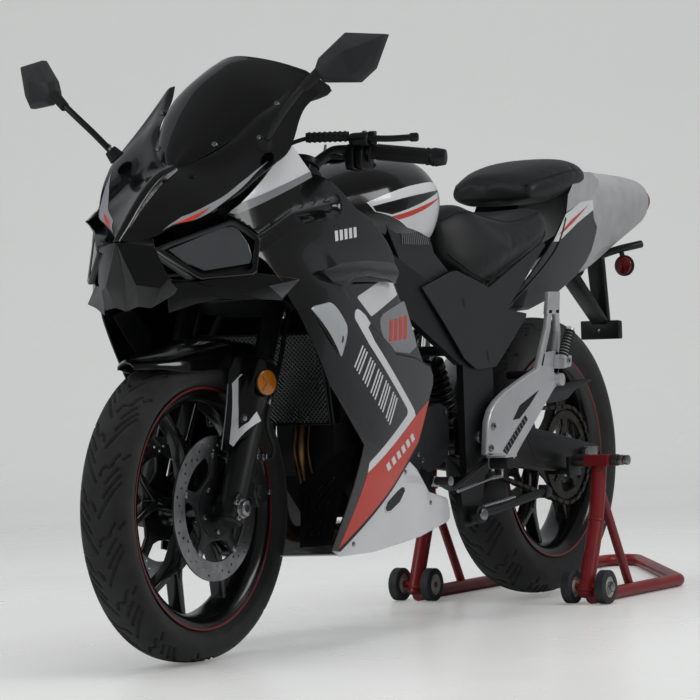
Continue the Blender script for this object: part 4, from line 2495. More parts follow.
def spun_up(name: str, profile: Sequence[Pair], back: float) -> Piece:
    """Round piece about an upright axis on the bike's middle plane.

    Args:
        name: Name of the object.
        profile: (radius, height) points in millimetres, from the outside in.
        back: The axis's distance behind the front axle.

    Returns:
        The object.
    """
    steps = 40
    rows = [
        [
            (
                max(radius, 0.2) * cos(2 * pi * k / steps),
                back + max(radius, 0.2) * sin(2 * pi * k / steps),
                height,
            )
            for k in range(steps)
        ]
        for radius, height in profile
    ]
    return skin(name, rows, levels=0, closed=True)


@dataclass
class Cushion:
    """Stuffed seat pad: a closed loft that is blown up a little, with sewn seams.

    Attributes:
        name: Name of the finished object.
        half: Half sections (x, height) from the top's middle to the underside's, by distance back.
        seams: Lines of (section, place) steps where two covers are sewn together.
        nodes: CAD nodes that it replaces.
        swell: Furthest that a point may move when the pad is blown up, in millimetres.
    """

    name: str
    half: tuple[tuple[float, tuple[Pair, ...]], ...]
    seams: tuple[tuple[Pair, ...], ...]
    nodes: tuple[str, ...]
    swell: float = 5.0

    def build(self) -> None:
        """Builds the pad and its seams."""
        rows = [[(x, back, z) for x, z in section] for back, section in self.half]
        patch = Patch(rows)
        loops = []
        for step in range(len(rows) * 3 - 2):
            u = step / 3.0
            count = len(rows[0]) * 2
            side = [patch.point(u, (len(rows[0]) - 1) * k / count) for k in range(count + 1)]
            loops.append(hoop(side))
        pad = skin(self.name, loops, levels=1, closed=True)
        pad = self._blown(pad)
        dress(pad, VINYL)
        seams = []
        for index, line in enumerate(self.seams):
            for side in (1, -1):
                points = []
                for u, v in line:
                    x, back, height = patch.point(u, v)
                    points.append((side * (x + 1.0), back, height + 0.4))
                seam = round_bar(f"{self.name}_seam_{index}_{side}", points, 1.5, 6, True)
                seams.append(dress(seam, SOFT_RUBBER))
        trim = joined(seams, self.name + "_seams")
        fit(pad, None, "chassis", "seat_vinyl", *self.nodes)
        fit(trim, None, "chassis", "seat_vinyl")

    def _blown(self, pad: Piece) -> Piece:
        """Blows the pad up as cloth under pressure and keeps the result.

        Args:
            pad: The starting form.

        Returns:
            The same piece with its new surface.
        """
        modify(pad, "REMESH", mode="VOXEL", voxel_size=0.006)
        start = [corner.co.copy() for corner in pad.data.vertices]
        activate(pad)
        cloth = pad.modifiers.new("cloth", "CLOTH")
        cloth.settings.use_pressure = True
        cloth.settings.uniform_pressure_force = 4.0
        cloth.settings.effector_weights.gravity = 0.0
        scene = bpy.context.scene
        for frame in range(1, 16):
            scene.frame_set(frame)
        bpy.ops.object.modifier_apply(modifier=cloth.name)
        scene.frame_set(1)
        reach = self.swell / 1000.0
        for corner, first in zip(pad.data.vertices, start):
            move = corner.co - first
            if move.length > reach:
                corner.co = first + move.normalized() * reach
        modify(pad, "SMOOTH", iterations=4)
        modify(pad, "SUBSURF", levels=1, render_levels=1)
        smooth(pad, 60.0)
        return pad


RIDER_SEAT = Cushion(
    "rider_seat_pad",
    (
        (826, ((0, 860), (50, 858), (86, 850), (96, 830), (98, 800), (92, 775), (60, 762), (0, 762))),
        (860, ((0, 872), (56, 872), (94, 868), (112, 846), (120, 800), (122, 748), (80, 738), (0, 738))),
        (905, ((0, 872), (60, 876), (100, 880), (122, 860), (134, 804), (138, 720), (90, 712), (0, 712))),
        (965, ((0, 856), (64, 860), (108, 868), (132, 848), (144, 790), (142, 705), (92, 700), (0, 700))),
        (1070, ((0, 840), (66, 845), (112, 852), (138, 834), (148, 792), (144, 742), (92, 734), (0, 734))),
        (1170, ((0, 852), (66, 857), (112, 863), (136, 850), (146, 820), (140, 778), (92, 770), (0, 770))),
        (1245, ((0, 872), (64, 874), (104, 878), (128, 868), (138, 844), (130, 808), (86, 800), (0, 800))),
        (1275, ((0, 866), (50, 866), (84, 866), (106, 860), (112, 844), (106, 824), (70, 816), (0, 816))),
    ),
    (((0.4, 2.6), (1.2, 2.7), (2, 2.75), (3, 2.75), (4, 2.75), (5, 2.75), (6, 2.7), (6.8, 2.6)),
     ((0.5, 4.6), (1.2, 4.8), (2, 4.85), (3, 4.85), (4, 4.8), (5, 4.8), (6, 4.75), (6.8, 4.6))),
    ("rider_seat",),
)
PILLION_SEAT = Cushion(
    "pillion_seat_pad",
    (
        (1236, ((0, 934), (50, 932), (84, 926), (96, 916), (96, 908), (84, 900), (50, 896), (0, 896))),
        (1262, ((0, 956), (60, 953), (96, 942), (110, 926), (108, 908), (96, 898), (56, 893), (0, 892))),
        (1340, ((0, 980), (64, 977), (104, 962), (120, 938), (116, 914), (104, 902), (60, 897), (0, 896))),
        (1430, ((0, 992), (62, 989), (102, 974), (118, 950), (114, 928), (104, 916), (60, 912), (0, 910))),
        (1515, ((0, 992), (52, 988), (88, 974), (102, 956), (100, 940), (90, 932), (54, 930), (0, 930))),
        (1552, ((0, 980), (36, 977), (62, 968), (72, 956), (72, 948), (64, 942), (38, 940), (0, 940))),
    ),
    (((0.2, 2.0), (1, 2.3), (2, 2.35), (3, 2.35), (4, 2.3), (4.8, 2.0)),),
    ("pillion_seat",),
)


def tail_side(offset: float = 0.0) -> Place:
    """Side surface of the tail panels.

    Args:
        offset: Distance outside it.

    Returns:
        A function from (back, height) to a point.
    """

    def place(back: float, height: float) -> Triple:
        """Point of the side."""
        wide = curve_through(
            (140.0, 133.0, 118.0, 98.0, 90.0), (1040.0, 1240.0, 1400.0, 1560.0, 1640.0), back
        )
        return (wide - 0.00042 * (height - 835.0) ** 2 + offset, back, height)

    return place


@dataclass
class Tail:
    """Tail panels with their flashes, the silver tail cowl, its lamp and the side covers.

    Attributes:
        panel_outline: Edge of a tail panel, as (back, height) corners like the rest.
        grey_field: Edge of its silver field.
        white_flash: Edge of its white flash.
        red_flash: Edge of its red flash.
        cover_outline: Edge of a side cover.
        cowl: Half sections (x, height) of the cowl from its top's middle, by distance back.
    """

    panel_outline: tuple[Pair, ...] = (
        (1041, 646), (1175, 652), (1300, 680), (1429, 725), (1496, 757), (1532, 784), (1566, 826),
        (1586, 870),
        (1602, 925), (1604, 948), (1560, 966), (1470, 962), (1394, 909), (1370, 863), (1290, 805),
        (1160, 722),
    )
    grey_field: tuple[Pair, ...] = (
        (1394, 909), (1470, 962), (1560, 966), (1604, 948), (1602, 925), (1596, 904), (1470, 892),
        (1376, 870),
    )
    white_flash: tuple[Pair, ...] = (
        (1372, 866), (1400, 873), (1470, 894), (1596, 905), (1592, 890), (1566, 882), (1440, 846),
        (1322, 803), (1292, 802),
    )
    red_flash: tuple[Pair, ...] = ((1322, 818), (1400, 852), (1520, 889), (1400, 842), (1350, 824))
    cover_outline: tuple[Pair, ...] = (
        (661, 704), (778, 736), (800, 738), (860, 723), (938, 701), (1008, 728), (1110, 765), (1212, 800),
        (1222, 794), (1016, 654), (1111, 644), (1108, 636), (975, 542), (960, 532), (882, 529), (868, 532),
        (824, 553), (730, 641),
    )
    cowl: tuple[tuple[float, tuple[Pair, ...]], ...] = (
        (
            1500,
            (
                (0, 958), (40, 958), (66, 954), (92, 934), (104, 904), (106, 860), (98, 800), (80, 722),
                (50, 708), (0, 706),
            ),
        ),
        (
            1600,
            (
                (0, 971), (38, 970), (64, 966), (90, 942), (100, 908), (102, 868), (90, 806), (72, 752),
                (46, 740), (0, 738),
            ),
        ),
        (
            1750,
            (
                (0, 971), (34, 970), (58, 965), (80, 944), (90, 915), (92, 888), (80, 842), (62, 806),
                (38, 796), (0, 794),
            ),
        ),
        (
            1880,
            (
                (0, 962), (30, 961), (50, 956), (68, 938), (76, 917), (77, 898), (68, 868), (54, 848),
                (34, 842), (0, 840),
            ),
        ),
        (
            1936,
            (
                (0, 951), (26, 950), (44, 946), (58, 932), (64, 915), (64, 900), (58, 882), (48, 868),
                (30, 863), (0, 862),
            ),
        ),
    )

    def build(self) -> None:
        """Builds the tail's pieces."""
        pieces = [
            dress(panel("tail_panel", self.panel_outline, tail_side(), 3.0, 14.0, 1.2), BLACK_PAINT),
            dress(panel("tail_grey_field", self.grey_field, tail_side(0.4), 0.6, 14.0), SILVER_PAINT),
            dress(panel("tail_white_flash", self.white_flash, tail_side(0.8), 0.6, 14.0), WHITE_PAINT),
            dress(panel("tail_red_flash", self.red_flash, tail_side(1.2), 0.6, 14.0), RED_PAINT),
        ]
        fold = [
            tail_side(1.0)(b, h)
            for b, h in ((1050, 649), (1150, 700), (1250, 752), (1330, 800), (1366, 856))
        ]
        pieces.append(dress(round_bar("tail_panel_fold", fold, 2.4, 8, True), BLACK_PAINT))
        pair = twins(joined(pieces, "tail_panel_left"), "tail_panel_pair")
        fit(pair, None, "chassis", "gloss_black", "tail_panels")
        self._cowl()
        self._covers()

    def _cowl(self) -> None:
        """Silver cowl with a shut line along its spine, and the red lamp in its end."""
        loops = [hoop([(x, back, z) for x, z in section]) for back, section in self.cowl]
        body = skin("tail_cowl_body", loops, levels=2, closed=True)
        bevel(body, 1.5, 2, 50.0)
        smooth(body, 28.0)
        dress(body, SILVER_PAINT)
        spine = [(0, 1560, 967), (0, 1640, 974.5), (0, 1750, 972.5), (0, 1880, 963.5), (0, 1925, 955)]
        line = dress(round_bar("tail_shut_line", spine, 1.2, 6, True), TRIM_ABS)
        fit(joined([body, line], "tail_cowl_shell"), None, "chassis", "silver_paint", "tail_cowl")
        lamp_rows = [
            [
                (x * 0.86, back, 906 + (z - 906) * 0.72)
                for x, z in self.cowl[-1][1][:-1]
            ] for back in (1934, 1941)
        ]
        rows = [row + [(-x, b, z) for x, b, z in reversed(row[1:])] for row in lamp_rows]
        lens = skin("tail_lamp_lens", rows, levels=0, closed=True)
        bevel(lens, 2.0, 3, 40.0)
        dress(lens, RED_LENS)
        cells = []
        for row in range(2):
            for column in range(5):
                x, z = -32 + column * 16, 898 + row * 16
                cell = drum(f"tail_led_{row}_{column}", (x, 1940, z), (x, 1943.5, z), 5.0, 3.6, 16, 0.8)
                cells.append(dress(cell, RED_LENS))
        fit(joined([lens, *cells], "tail_lamp_shell"), None, "chassis", "red_lens", "tail_lamp")

    def _covers(self) -> None:
        """Matte side covers under the seat with oval slots."""

        def side(back: float, height: float) -> Triple:
            """Point of the cover, bowed out in its middle."""
            bow = 9.0 * max(0.0, 1.0 - ((back - 880) / 300.0) ** 2) - 0.00016 * (height - 660) ** 2
            return (148.0 + bow, back, height)

        cover = dress(panel("side_cover", self.cover_outline, side, 3.0, 14.0, 1.4), MATTE_ABS)
        pieces = [cover]
        for back, height in ((824, 671), (924, 556)):
            turns = [k * pi / 8 for k in range(16)]
            oval = [(back + 4.5 * cos(turn) - 3 * sin(turn), height + 12 * sin(turn)) for turn in turns]
            slot = panel("side_cover_slot", oval, side, 0.6, 10.0, lift=0.4)
            pieces.append(dress(slot, SOFT_RUBBER))
        pair = twins(joined(pieces, "side_cover_left"), "side_cover_pair")
        fit(pair, None, "chassis", "dark_cover", "side_covers")


@dataclass
class PlateBracket:
    """Plate bracket's struts, its bare bracket plate and the red reflectors beside it."""

    def build(self) -> None:
        """Builds the bracket and what it holds."""
        pieces = []
        for start, end in (((0, 1600, 738), (0, 1768, 612)), ((0, 1744, 796), (0, 1772, 615))):
            strut = prism("bracket_strut", self._strut(start, end, 11.0), -20, 20, 2.0, 2)
            pieces.append(dress(strut, TRIM_ABS))
        plate = prism("bracket_plate", ((1756, 577), (1776, 577), (1776, 620), (1756, 622)), -51, 51, 3.0, 3)
        pieces.append(dress(plate, TRIM_ABS))
        bolt = drum("bracket_bolt", (0, 1757, 598), (0, 1752.5, 598), 5.0, 4.0, 6, 0.8)
        pieces.append(dress(bolt, ZINC_STEEL))
        for side in (1, -1):
            stalk_points = [
                (side * 20, 1735, 776), (side * 52, 1752, 788), (side * 84, 1778, 796),
                (side * 96, 1800, 800),
            ]
            stalk = round_bar(f"reflector_stalk_{side}", stalk_points, 9.0, 6, True)
            pieces.append(dress(stalk, TRIM_ABS))
            base = drum(
                f"reflector_base_{side}", (side * 66, 1772, 750), (side * 66, 1764, 750), 25.0, 25.0, 36, 1.5
            )
            lens = drum(
                f"reflector_lens_{side}", (side * 66, 1764.5, 750), (side * 66, 1759, 750), 22.5, 20.0, 36,
                2.0,
            )
            neck = drum(
                f"reflector_neck_{side}", (side * 62, 1768, 770), (side * 60, 1762, 790), 6.0, 6.0, 16, 1.0
            )
            pieces += [dress(base, TRIM_ABS), dress(lens, RED_LENS), dress(neck, TRIM_ABS)]
        fit(joined(pieces, "plate_bracket_body"), None, "chassis", "black_metal", "plate_bracket")

    def _strut(self, start: Triple, end: Triple, width: float) -> list[Pair]:
        """Side outline of a strut that narrows to its foot.

        Args:
            start: Its top.
            end: Its foot.
            width: Half its width at the top.

        Returns:
            The outline as (back, height) points.
        """
        run, rise = end[1] - start[1], end[2] - start[2]
        size = sqrt(run * run + rise * rise)
        across = (-rise / size, run / size)
        foot = width * 0.6
        return [
            (start[1] + across[0] * width, start[2] + across[1] * width),
            (start[1] - across[0] * width, start[2] - across[1] * width),
            (end[1] - across[0] * foot, end[2] - across[1] * foot),
            (end[1] + across[0] * foot, end[2] + across[1] * foot),
        ]


# ================================================================ front end
def slanted(points: Sequence[Pair], back: float, height: float, degrees: float) -> list[Pair]:
    """Outline turned and moved to its place.

    Args:
        points: Corners about the outline's own middle, in millimetres.
        back: Where the middle goes, behind the front axle.
        height: Where it goes over the floor.
        degrees: Turn from back towards up.

    Returns:
        (back, height) corners.
    """
    c, s = cos(radians(degrees)), sin(radians(degrees))
    return [(back + a * c - b * s, height + a * s + b * c) for a, b in points]


def bolts(places: Sequence[Triple], x_out: float, radius: float = 5.0) -> list[Piece]:
    """Hexagon-socket bolt heads on faces square to the bike.

    Args:
        places: (x, back, height) where each head begins, in millimetres.
        x_out: Height of a head; negative on a right-hand face.
        radius: The heads' radius.

    Returns:
        The dressed heads.
    """
    made = []
    for x, back, height in places:
        made.append(dress(level_drum("bolt_head", x, x + x_out, (back, height), radius), ZINC_STEEL))
        socket = level_drum(
            "bolt_socket", x + x_out * 0.6, x + x_out * 1.06, (back, height), radius * 0.5, None, 6, 0
        )
        made.append(dress(socket, SOFT_RUBBER))
    return made


def turned_leg(name: str, x: float, profile: Sequence[Pair]) -> Piece:
    """Turned piece along a fork leg.

    Args:
        name: Name of the object.
        x: The leg's distance to the bike's left.
        profile: (distance up the leg, radius) in millimetres.

    Returns:
        The object.
    """
    steps = [
        drum(name, fork_at(x, low, 0), fork_at(x, high, 0), low_radius, high_radius, 40, 0)
        for (low, low_radius), (high, high_radius) in zip(profile, profile[1:])
    ]
    leg = joined(steps, name)
    outward(leg)
    smooth(leg, 32.0)
    return leg


@dataclass
class FrontFender:
    """Black fender with a beak, and on each leg a guard with a white chevron and a reflector.

    Attributes:
        halves: Rows of (x, height) from the crown to the skirt, one at each back.
        guard_rows: Distance up the leg, and (x, aft) from the wheel side outwards.
        guard_outline: The guard's edge, in hundredths of its rows and columns.
        chevron: The white band's edge, in the same.
    """

    halves: Sequence[tuple[float, Sequence[Pair]]] = (
        (-184, ((0, 576), (8, 574), (13, 571), (17, 567), (17, 563))),
        (-166, ((0, 583), (14, 580), (25, 575), (31, 569), (31, 562))),
        (-138, ((0, 590), (26, 585), (40, 578), (46, 571), (47, 562))),
        (-92, ((0, 599), (30, 594), (50, 586), (60, 573), (63, 556))),
        (-40, ((0, 610), (30, 606), (52, 597), (65, 581), (66, 555))),
        (20, ((0, 617), (30, 613), (54, 605), (68, 590), (68, 556))),
        (75, ((0, 618), (32, 615), (56, 608), (72, 598), (70, 558))),
        (125, ((0, 608), (32, 606), (58, 603), (76, 598), (72, 552))),
        (169, ((0, 584), (30, 583), (56, 585), (74, 586), (70, 540))),
        (206, ((0, 553), (28, 551), (52, 551), (70, 556), (66, 516))),
    )
    guard_rows: Sequence[tuple[float, Sequence[Pair]]] = (
        (300, ((66, -62), (84, -50), (102, -42), (122, -32), (136, -8))),
        (240, ((70, -56), (86, -46), (102, -40), (121, -31), (134, -8))),
        (180, ((74, -47), (88, -42), (102, -38), (120, -30), (133, -8))),
        (100, ((78, -40), (90, -38), (102, -36), (117, -31), (128, -14))),
    )
    guard_outline: Sequence[Pair] = (
        (0, 0), (114, 0), (300, 0), (300, 90), (288, 160), (250, 350),
        (186, 396), (136, 400), (60, 396), (10, 330), (0, 200),
    )
    chevron: Sequence[Pair] = (
        (107, 43), (279, 121), (286, 193), (207, 396), (186, 343), (221, 300),
        (243, 214), (164, 143), (86, 100), (71, 143), (71, 121),
    )

    def build(self) -> None:
        """Makes the fender and both guards."""
        rows = whole_rows([[(x, back, z) for x, z in half] for back, half in self.halves])
        shell = Patch(rows).mesh("fender_shell", 3.0, 4)
        modify(shell, "BEVEL", width=0.0008, segments=2, limit_method="ANGLE", angle_limit=radians(60))
        dress(shell, BLACK_PAINT)
        guards = twins(joined(self._guard(), "fork_guard"), "fork_guards")
        fit(joined([shell, guards], "front_mudguard"), None, "steering", "gloss_black", "front_fender")

    def _guard(self) -> list[Piece]:
        """Left leg's guard.

        Returns:
            Its dressed pieces.
        """
        patch = Patch([[fork_at(x, up, aft) for x, aft in row] for up, row in self.guard_rows])

        def place(u: float, v: float) -> Triple:
            """Point of the guard for hundredths of its rows and columns."""
            return patch.point(u / 100.0, v / 100.0)

        x, back, height = place(214, 250)
        base = place(93, 290)
        disc = (base[0] + 2.0, base[1] + 12.0, base[2])
        face = (disc[0] + 12.0, disc[1] - 3.0, disc[2])
        lens = (face[0] + 7.0, face[1] - 2.0, face[2])
        edge = [place(u, 2) for u in (112, 160, 210, 260, 296)]
        return [
            dress(panel("guard_shell", self.guard_outline, place, 3.0, 16.0, 1.0), BLACK_PAINT),
            dress(panel("guard_chevron", self.chevron, place, 0.5, 16.0, lift=0.5), WHITE_PAINT),
            dress(round_bar("guard_edge", edge, 1.1, 6, True), GREY_PAINT),
            dress(
                drum("guard_screw_cup", (x - 3, back, height), (x + 2, back - 2, height), 9.5), SOFT_RUBBER
            ),
            dress(
                drum("guard_screw", (x, back, height), (x + 4, back - 3, height), 4.6, None, 20, 0.8),
                ZINC_STEEL,
            ),
            dress(drum("reflector_mount", disc, face, 17.0, 20.0), TRIM_ABS),
            dress(drum("reflector_rim", face, (face[0] + 5, face[1] - 1.5, face[2]), 25.0), TRIM_ABS),
            dress(
                drum("reflector", (face[0] + 3, face[1] - 1, face[2]), lens, 24.0, None, 48, 1.5), AMBER_LENS
            ),
            *self._cross(lens),
        ]

    def _cross(self, lens: Triple) -> list[Piece]:
        """Moulded lines across the reflector.

        Args:
            lens: Middle of its face, in millimetres.

        Returns:
            The dressed lines.
        """
        x, back, height = lens
        lines = []
        for way in (-1, 1):
            ends = [(x, back - 15, height - 15 * way), (x, back + 15, height + 15 * way)]
            lines.append(dress(round_bar("reflector_line", ends, 1.0, 4), AMBER_LENS))
        return lines


@dataclass
class Fork:
    """Fork legs with seals and pinch bolts, calipers and the brake hoses.

    Attributes:
        lower: (distance up, radius) of the lower leg.
        upper: (distance up, radius) of the upper tube and its caps.
        caliper_back: Middle of a caliper, behind the front axle.
        caliper_height: Its height.
        caliper_turn: Its turn in degrees.
    """

    lower: Sequence[Pair] = (
        (-31, 21), (-27, 26), (60, 27), (120, 27), (236, 26), (246, 28), (252, 30.5),
        (282, 31), (296, 29), (301, 25), (306, 22),
    )
    upper: Sequence[Pair] = ((300, 20.5), (424, 20.5), (733, 20.5))
    caliper_back: float = 122.0
    caliper_height: float = 341.0
    caliper_turn: float = 28.0

    def build(self) -> None:
        """Makes the legs, the calipers and the hoses on both sides."""
        foot = [(-24, -14), (-20, -24), (20, -26), (26, 0), (24, 26), (-18, 28), (-26, 12)]
        pieces = [
            dress(turned_leg("fork_lower", 100.0, self.lower), BLACK_METAL),
            dress(turned_leg("fork_upper", 100.0, self.upper), TRIM_ABS),
            dress(
                drum("fork_cap", fork_at(100, 733, 0), fork_at(100, 742, 0), 17.0, 15.0, 6), POLISHED_ALLOY
            ),
            dress(prism("axle_clamp", slanted(foot, 0, FRONT_RADIUS, -25), 78, 125, 5.0, 3), BLACK_METAL),
            *bolts([(125, -16, 277), (125, -22, 306)], 5.0, 5.5),
            *self._caliper(),
            *self._hose(),
        ]
        legs = twins(joined(pieces, "fork_leg"), "fork_leg_pair")
        fit(legs, None, "steering", "black_metal", "fork_legs", "front_calipers")
        nut = level_drum("axle_nut", 127, 137, FRONT_AXLE, 16.0, None, 6, 1.2)
        washer = level_drum("axle_washer", 124, 129, FRONT_AXLE, 19.0)
        far_cap = level_drum("axle_far_cap", -137, -124, FRONT_AXLE, 15.0)
        hole = level_drum("axle_hole", 131, 137.6, FRONT_AXLE, 8.0)
        axle = joined(
            [dress(p, ZINC_STEEL) for p in (nut, washer, far_cap)] + [dress(hole, SOFT_RUBBER)], "axle_ends"
        )
        fit(axle, None, "steering", "steel")

    def _caliper(self) -> list[Piece]:
        """Left caliper: two halves, a bridge, bores and bolts.

        Returns:
            Its dressed pieces.
        """
        half = [
            (-29, -40), (-22, -51), (12, -53), (27, -42), (30, -20), (27, 0), (30, 20),
            (27, 42), (12, 53), (-22, 51), (-29, 40), (-24, 18), (-27, 0), (-24, -18),
        ]
        bridge = [(15, -42), (29, -36), (30, -10), (30, 10), (29, 36), (15, 42)]
        lug = [(-86, 4), (-40, -16), (-20, -6), (-20, 34), (-44, 40), (-80, 28)]

        def placed(points: Sequence[Pair]) -> list[Pair]:
            """Corners in the bike's own directions."""
            return slanted(points, self.caliper_back, self.caliper_height, self.caliper_turn)

        near = [(83.5, b, h) for b, h in placed(((18, -40), (18, 40)))]
        bores = [(80.0, b, h) for b, h in placed(((-4, -24), (-4, 24)))]
        pieces = [
            prism("caliper_outer", placed(half), 67.5, 83.5, 4.0, 3),
            prism("caliper_inner", placed(half), 41.0, 57.5, 4.0, 3),
            prism("caliper_bridge", placed(bridge), 56.0, 69.0, 1.5),
            prism("caliper_lug", placed(lug), 74.0, 88.0, 3.0),
        ]
        pieces += [level_drum("caliper_bore", x, x + 6.5, (b, h), 16.0, 13.5) for x, b, h in bores]
        for piece in pieces:
            dress(piece, BLACK_METAL)
        lug_bolts = [(88.0, b, h) for b, h in placed(((-62, 14), (-40, 20)))]
        return pieces + bolts(near, 6.0, 6.0) + bolts(lug_bolts, 5.0, 6.5)

    def _hose(self) -> list[Piece]:
        """Brake hose from the caliper up behind the leg, with its banjo and clips.

        Returns:
            Its dressed pieces.
        """
        path = [
            (82, 140, 384), (96, 152, 374), (106, 152, 400), (117, 112, 432), (121, 102, 462),
            (119, 124, 500), (117, 148, 532), (112, 176, 575), (108, 194, 610), (102, 230, 680),
            (90, 266, 760), (62, 284, 860),
        ]
        clip = (118, 112, 484)
        return [
            dress(round_bar("brake_hose", path, 4.6, 8, True), SOFT_RUBBER),
            dress(level_drum("banjo", 80, 90, (140, 384), 8.5), ZINC_STEEL),
            dress(level_drum("banjo_bolt", 89, 96, (140, 384), 6.0, None, 6), ZINC_STEEL),
            dress(drum("hose_clip", clip, (116, 132, 508), 6.8), ZINC_STEEL),
        ]


@dataclass
class Cockpit:
    """Yokes, clip-on bars with grips, switches, levers and cables, and the instruments.

    Attributes:
        grip_inner: Inner end of the left grip, in millimetres.
        grip_outer: Its outer end.
        knob_end: End of the bar weight.
        lever: Points along the left lever up to its ball.
    """

    grip_inner: Triple = (212, 373, 973)
    grip_outer: Triple = (324, 418, 957)
    knob_end: Triple = (352, 427, 955)
    lever: Sequence[Triple] = (
        (196, 345, 999), (222, 346, 998), (250, 353, 995), (280, 362, 994), (306, 372, 995),
    )

    def along(self, distance: float) -> Triple:
        """Point on the grip's own line.

        Args:
            distance: Millimetres from the grip's inner end outwards.

        Returns:
            The point.
        """
        start, end = Vector(self.grip_inner), Vector(self.grip_outer)
        return tuple(start + (end - start).normalized() * distance)

    def build(self) -> None:
        """Makes the cockpit."""
        self._yokes()
        pieces = [*self._bar(), *self._controls(), *self._cables()]
        bars = twins(joined(pieces, "clip_on"), "clip_on_pair")
        fit(bars, None, "steering", "dark_cover", "handlebars")
        self._dash()

    def _bar(self) -> list[Piece]:
        """Clamp, bar, grip and bar weight.

        Returns:
            The dressed pieces.
        """
        tube = [fork_at(100, 706, 0), (132, 334, 970), self.along(-60), self.along(20)]
        grip = joined(
            [drum("grip_core", self.grip_inner, self.grip_outer, 15.0, 15.6, 32, 1.0)]
            + [
                drum("grip_rib", self.along(d), self.along(d + 2.2), 16.6, None, 32, 0.5)
                for d in range(14, 108, 4)
            ]
            + [
                drum("grip_flange", self.along(-2), self.along(3), 20.5),
                drum("grip_end", self.along(112), self.along(118), 17.5),
            ],
            "grip",
        )
        weight = joined(
            [
                drum("bar_weight", self.along(119), self.along(129), 16.5, 19.0, 32, 1.0),
                drum("bar_weight_end", self.along(129), self.knob_end, 19.0, 15.5, 32, 2.0),
            ],
            "bar_weight",
        )
        return [
            dress(drum("bar_clamp", fork_at(100, 722, 0), fork_at(100, 736, 0), 30.0), BLACK_METAL),
            dress(round_bar("bar_tube", tube, 11.0, 10, True), BLACK_METAL),
            dress(grip, SOFT_RUBBER),
            dress(weight, BLACK_METAL),
        ]

    def _controls(self) -> list[Piece]:
        """Switch housing, lever perch and lever.

        Returns:
            The dressed pieces.
        """
        housing = [(-24, -26), (20, -29), (27, -16), (27, 12), (18, 24), (-18, 25), (-27, 10), (-28, -14)]
        block = prism("switch_housing", [(363 + a, 964 + b) for a, b in housing], 174, 193, 3.0, 3)
        face = prism("switch_face", [(367 + a * 0.94, 962 + b * 0.94) for a, b in housing], 194, 209, 3.0, 3)
        perch = [(-12, -14), (14, -15), (20, -4), (18, 8), (6, 14), (-10, 12), (-18, 0)]
        clamp = prism("lever_perch", [(351 + a, 997 + b) for a, b in perch], 184, 226, 3.0, 3)
        post = drum("perch_post", (231, 352, 985), (231, 352, 1011), 8.0)
        blade = round_bar("lever_blade", self.lever, 6.4, 8, True)
        ball = drum("lever_ball", (303, 371, 995), (320, 378, 995), 8.8, None, 24, 4.0)
        pieces = [block, face, clamp, post]
        switches = [
            ("switch_rocker", (185, 392, 972), (185, 397, 973), 6.5),
            ("switch_button", (200, 393, 960), (200, 400, 960), 5.0),
            ("switch_slide", (190, 392, 948), (190, 398, 948), 5.5),
            ("horn_button", (204, 391, 946), (204, 398, 946), 6.5),
        ]
        pieces += [drum(name, start, end, radius) for name, start, end, radius in switches]
        for piece in pieces:
            dress(piece, TRIM_ABS)
        pivot = drum("lever_pivot", (214, 349, 1008), (214, 349, 1013), 5.0, None, 6)
        return pieces + [dress(joined([blade, ball], "lever"), BLACK_METAL), dress(pivot, ZINC_STEEL)]

    def _cables(self) -> list[Piece]:
        """Clutch cable with its ribbed boot, and the bright ends beside it.

        Returns:
            The dressed pieces.
        """
        boot = [
            drum(
                "cable_boot",
                (108 + fold * 4.2, 300 + fold * 2.8, 1004),
                (112.4 + fold * 4.2, 302.9 + fold * 2.8, 1004),
                9.6 + (fold % 2) * 1.3,
            )
            for fold in range(17)
        ]
        wires = [
            [(180, 348, 1001), (150, 328, 1004), (112, 302, 1005), (70, 262, 985), (40, 240, 930)],
            [(178, 352, 962), (150, 336, 968), (122, 322, 966), (96, 286, 930)],
        ]
        pieces = [dress(piece, SOFT_RUBBER) for piece in boot]
        pieces += [dress(round_bar("cable", path, 4.2, 8, True), SOFT_RUBBER) for path in wires]
        for start, end in (
            ((128, 330, 972), (144, 336, 969)),
            ((150, 340, 972), (166, 344, 966)),
            ((134, 332, 990), (132, 330, 976)),
        ):
            pieces.append(dress(drum("cable_end", start, end, 2.6), POLISHED_ALLOY))
        return pieces

    def _yokes(self) -> None:
        """Upper and lower yokes with the steering nut and pinch bolts."""
        outline = [(130, -28), (130, 22), (34, 60), (-34, 60), (-130, 22), (-130, -28), (-60, -22), (60, -22)]
        pieces = []
        for name, up, deep in (("upper_yoke", 690.0, 26.0), ("lower_yoke", 425.0, 32.0)):
            plate = flat_outline(name, [at(*fork_at(x, up, aft)) for x, aft in outline])
            extrude(plate, at(*fork_at(0, up + deep, 0)) - at(*fork_at(0, up, 0)))
            outward(plate)
            bevel(plate, 4.0, 3)
            smooth(plate)
            pieces.append(dress(plate, BLACK_METAL))
        stems = ((457, 690, 15.0, 32, BLACK_METAL), (716, 728, 17.0, 6, ZINC_STEEL))
        for low, high, radius, sides, finish in stems:
            ends = fork_at(0, low, STEM_AFT), fork_at(0, high, STEM_AFT)
            pieces.append(dress(drum("stem", *ends, radius, None, sides), finish))
        fit(joined(pieces, "yoke_set"), None, "steering", "black_metal", "yokes")

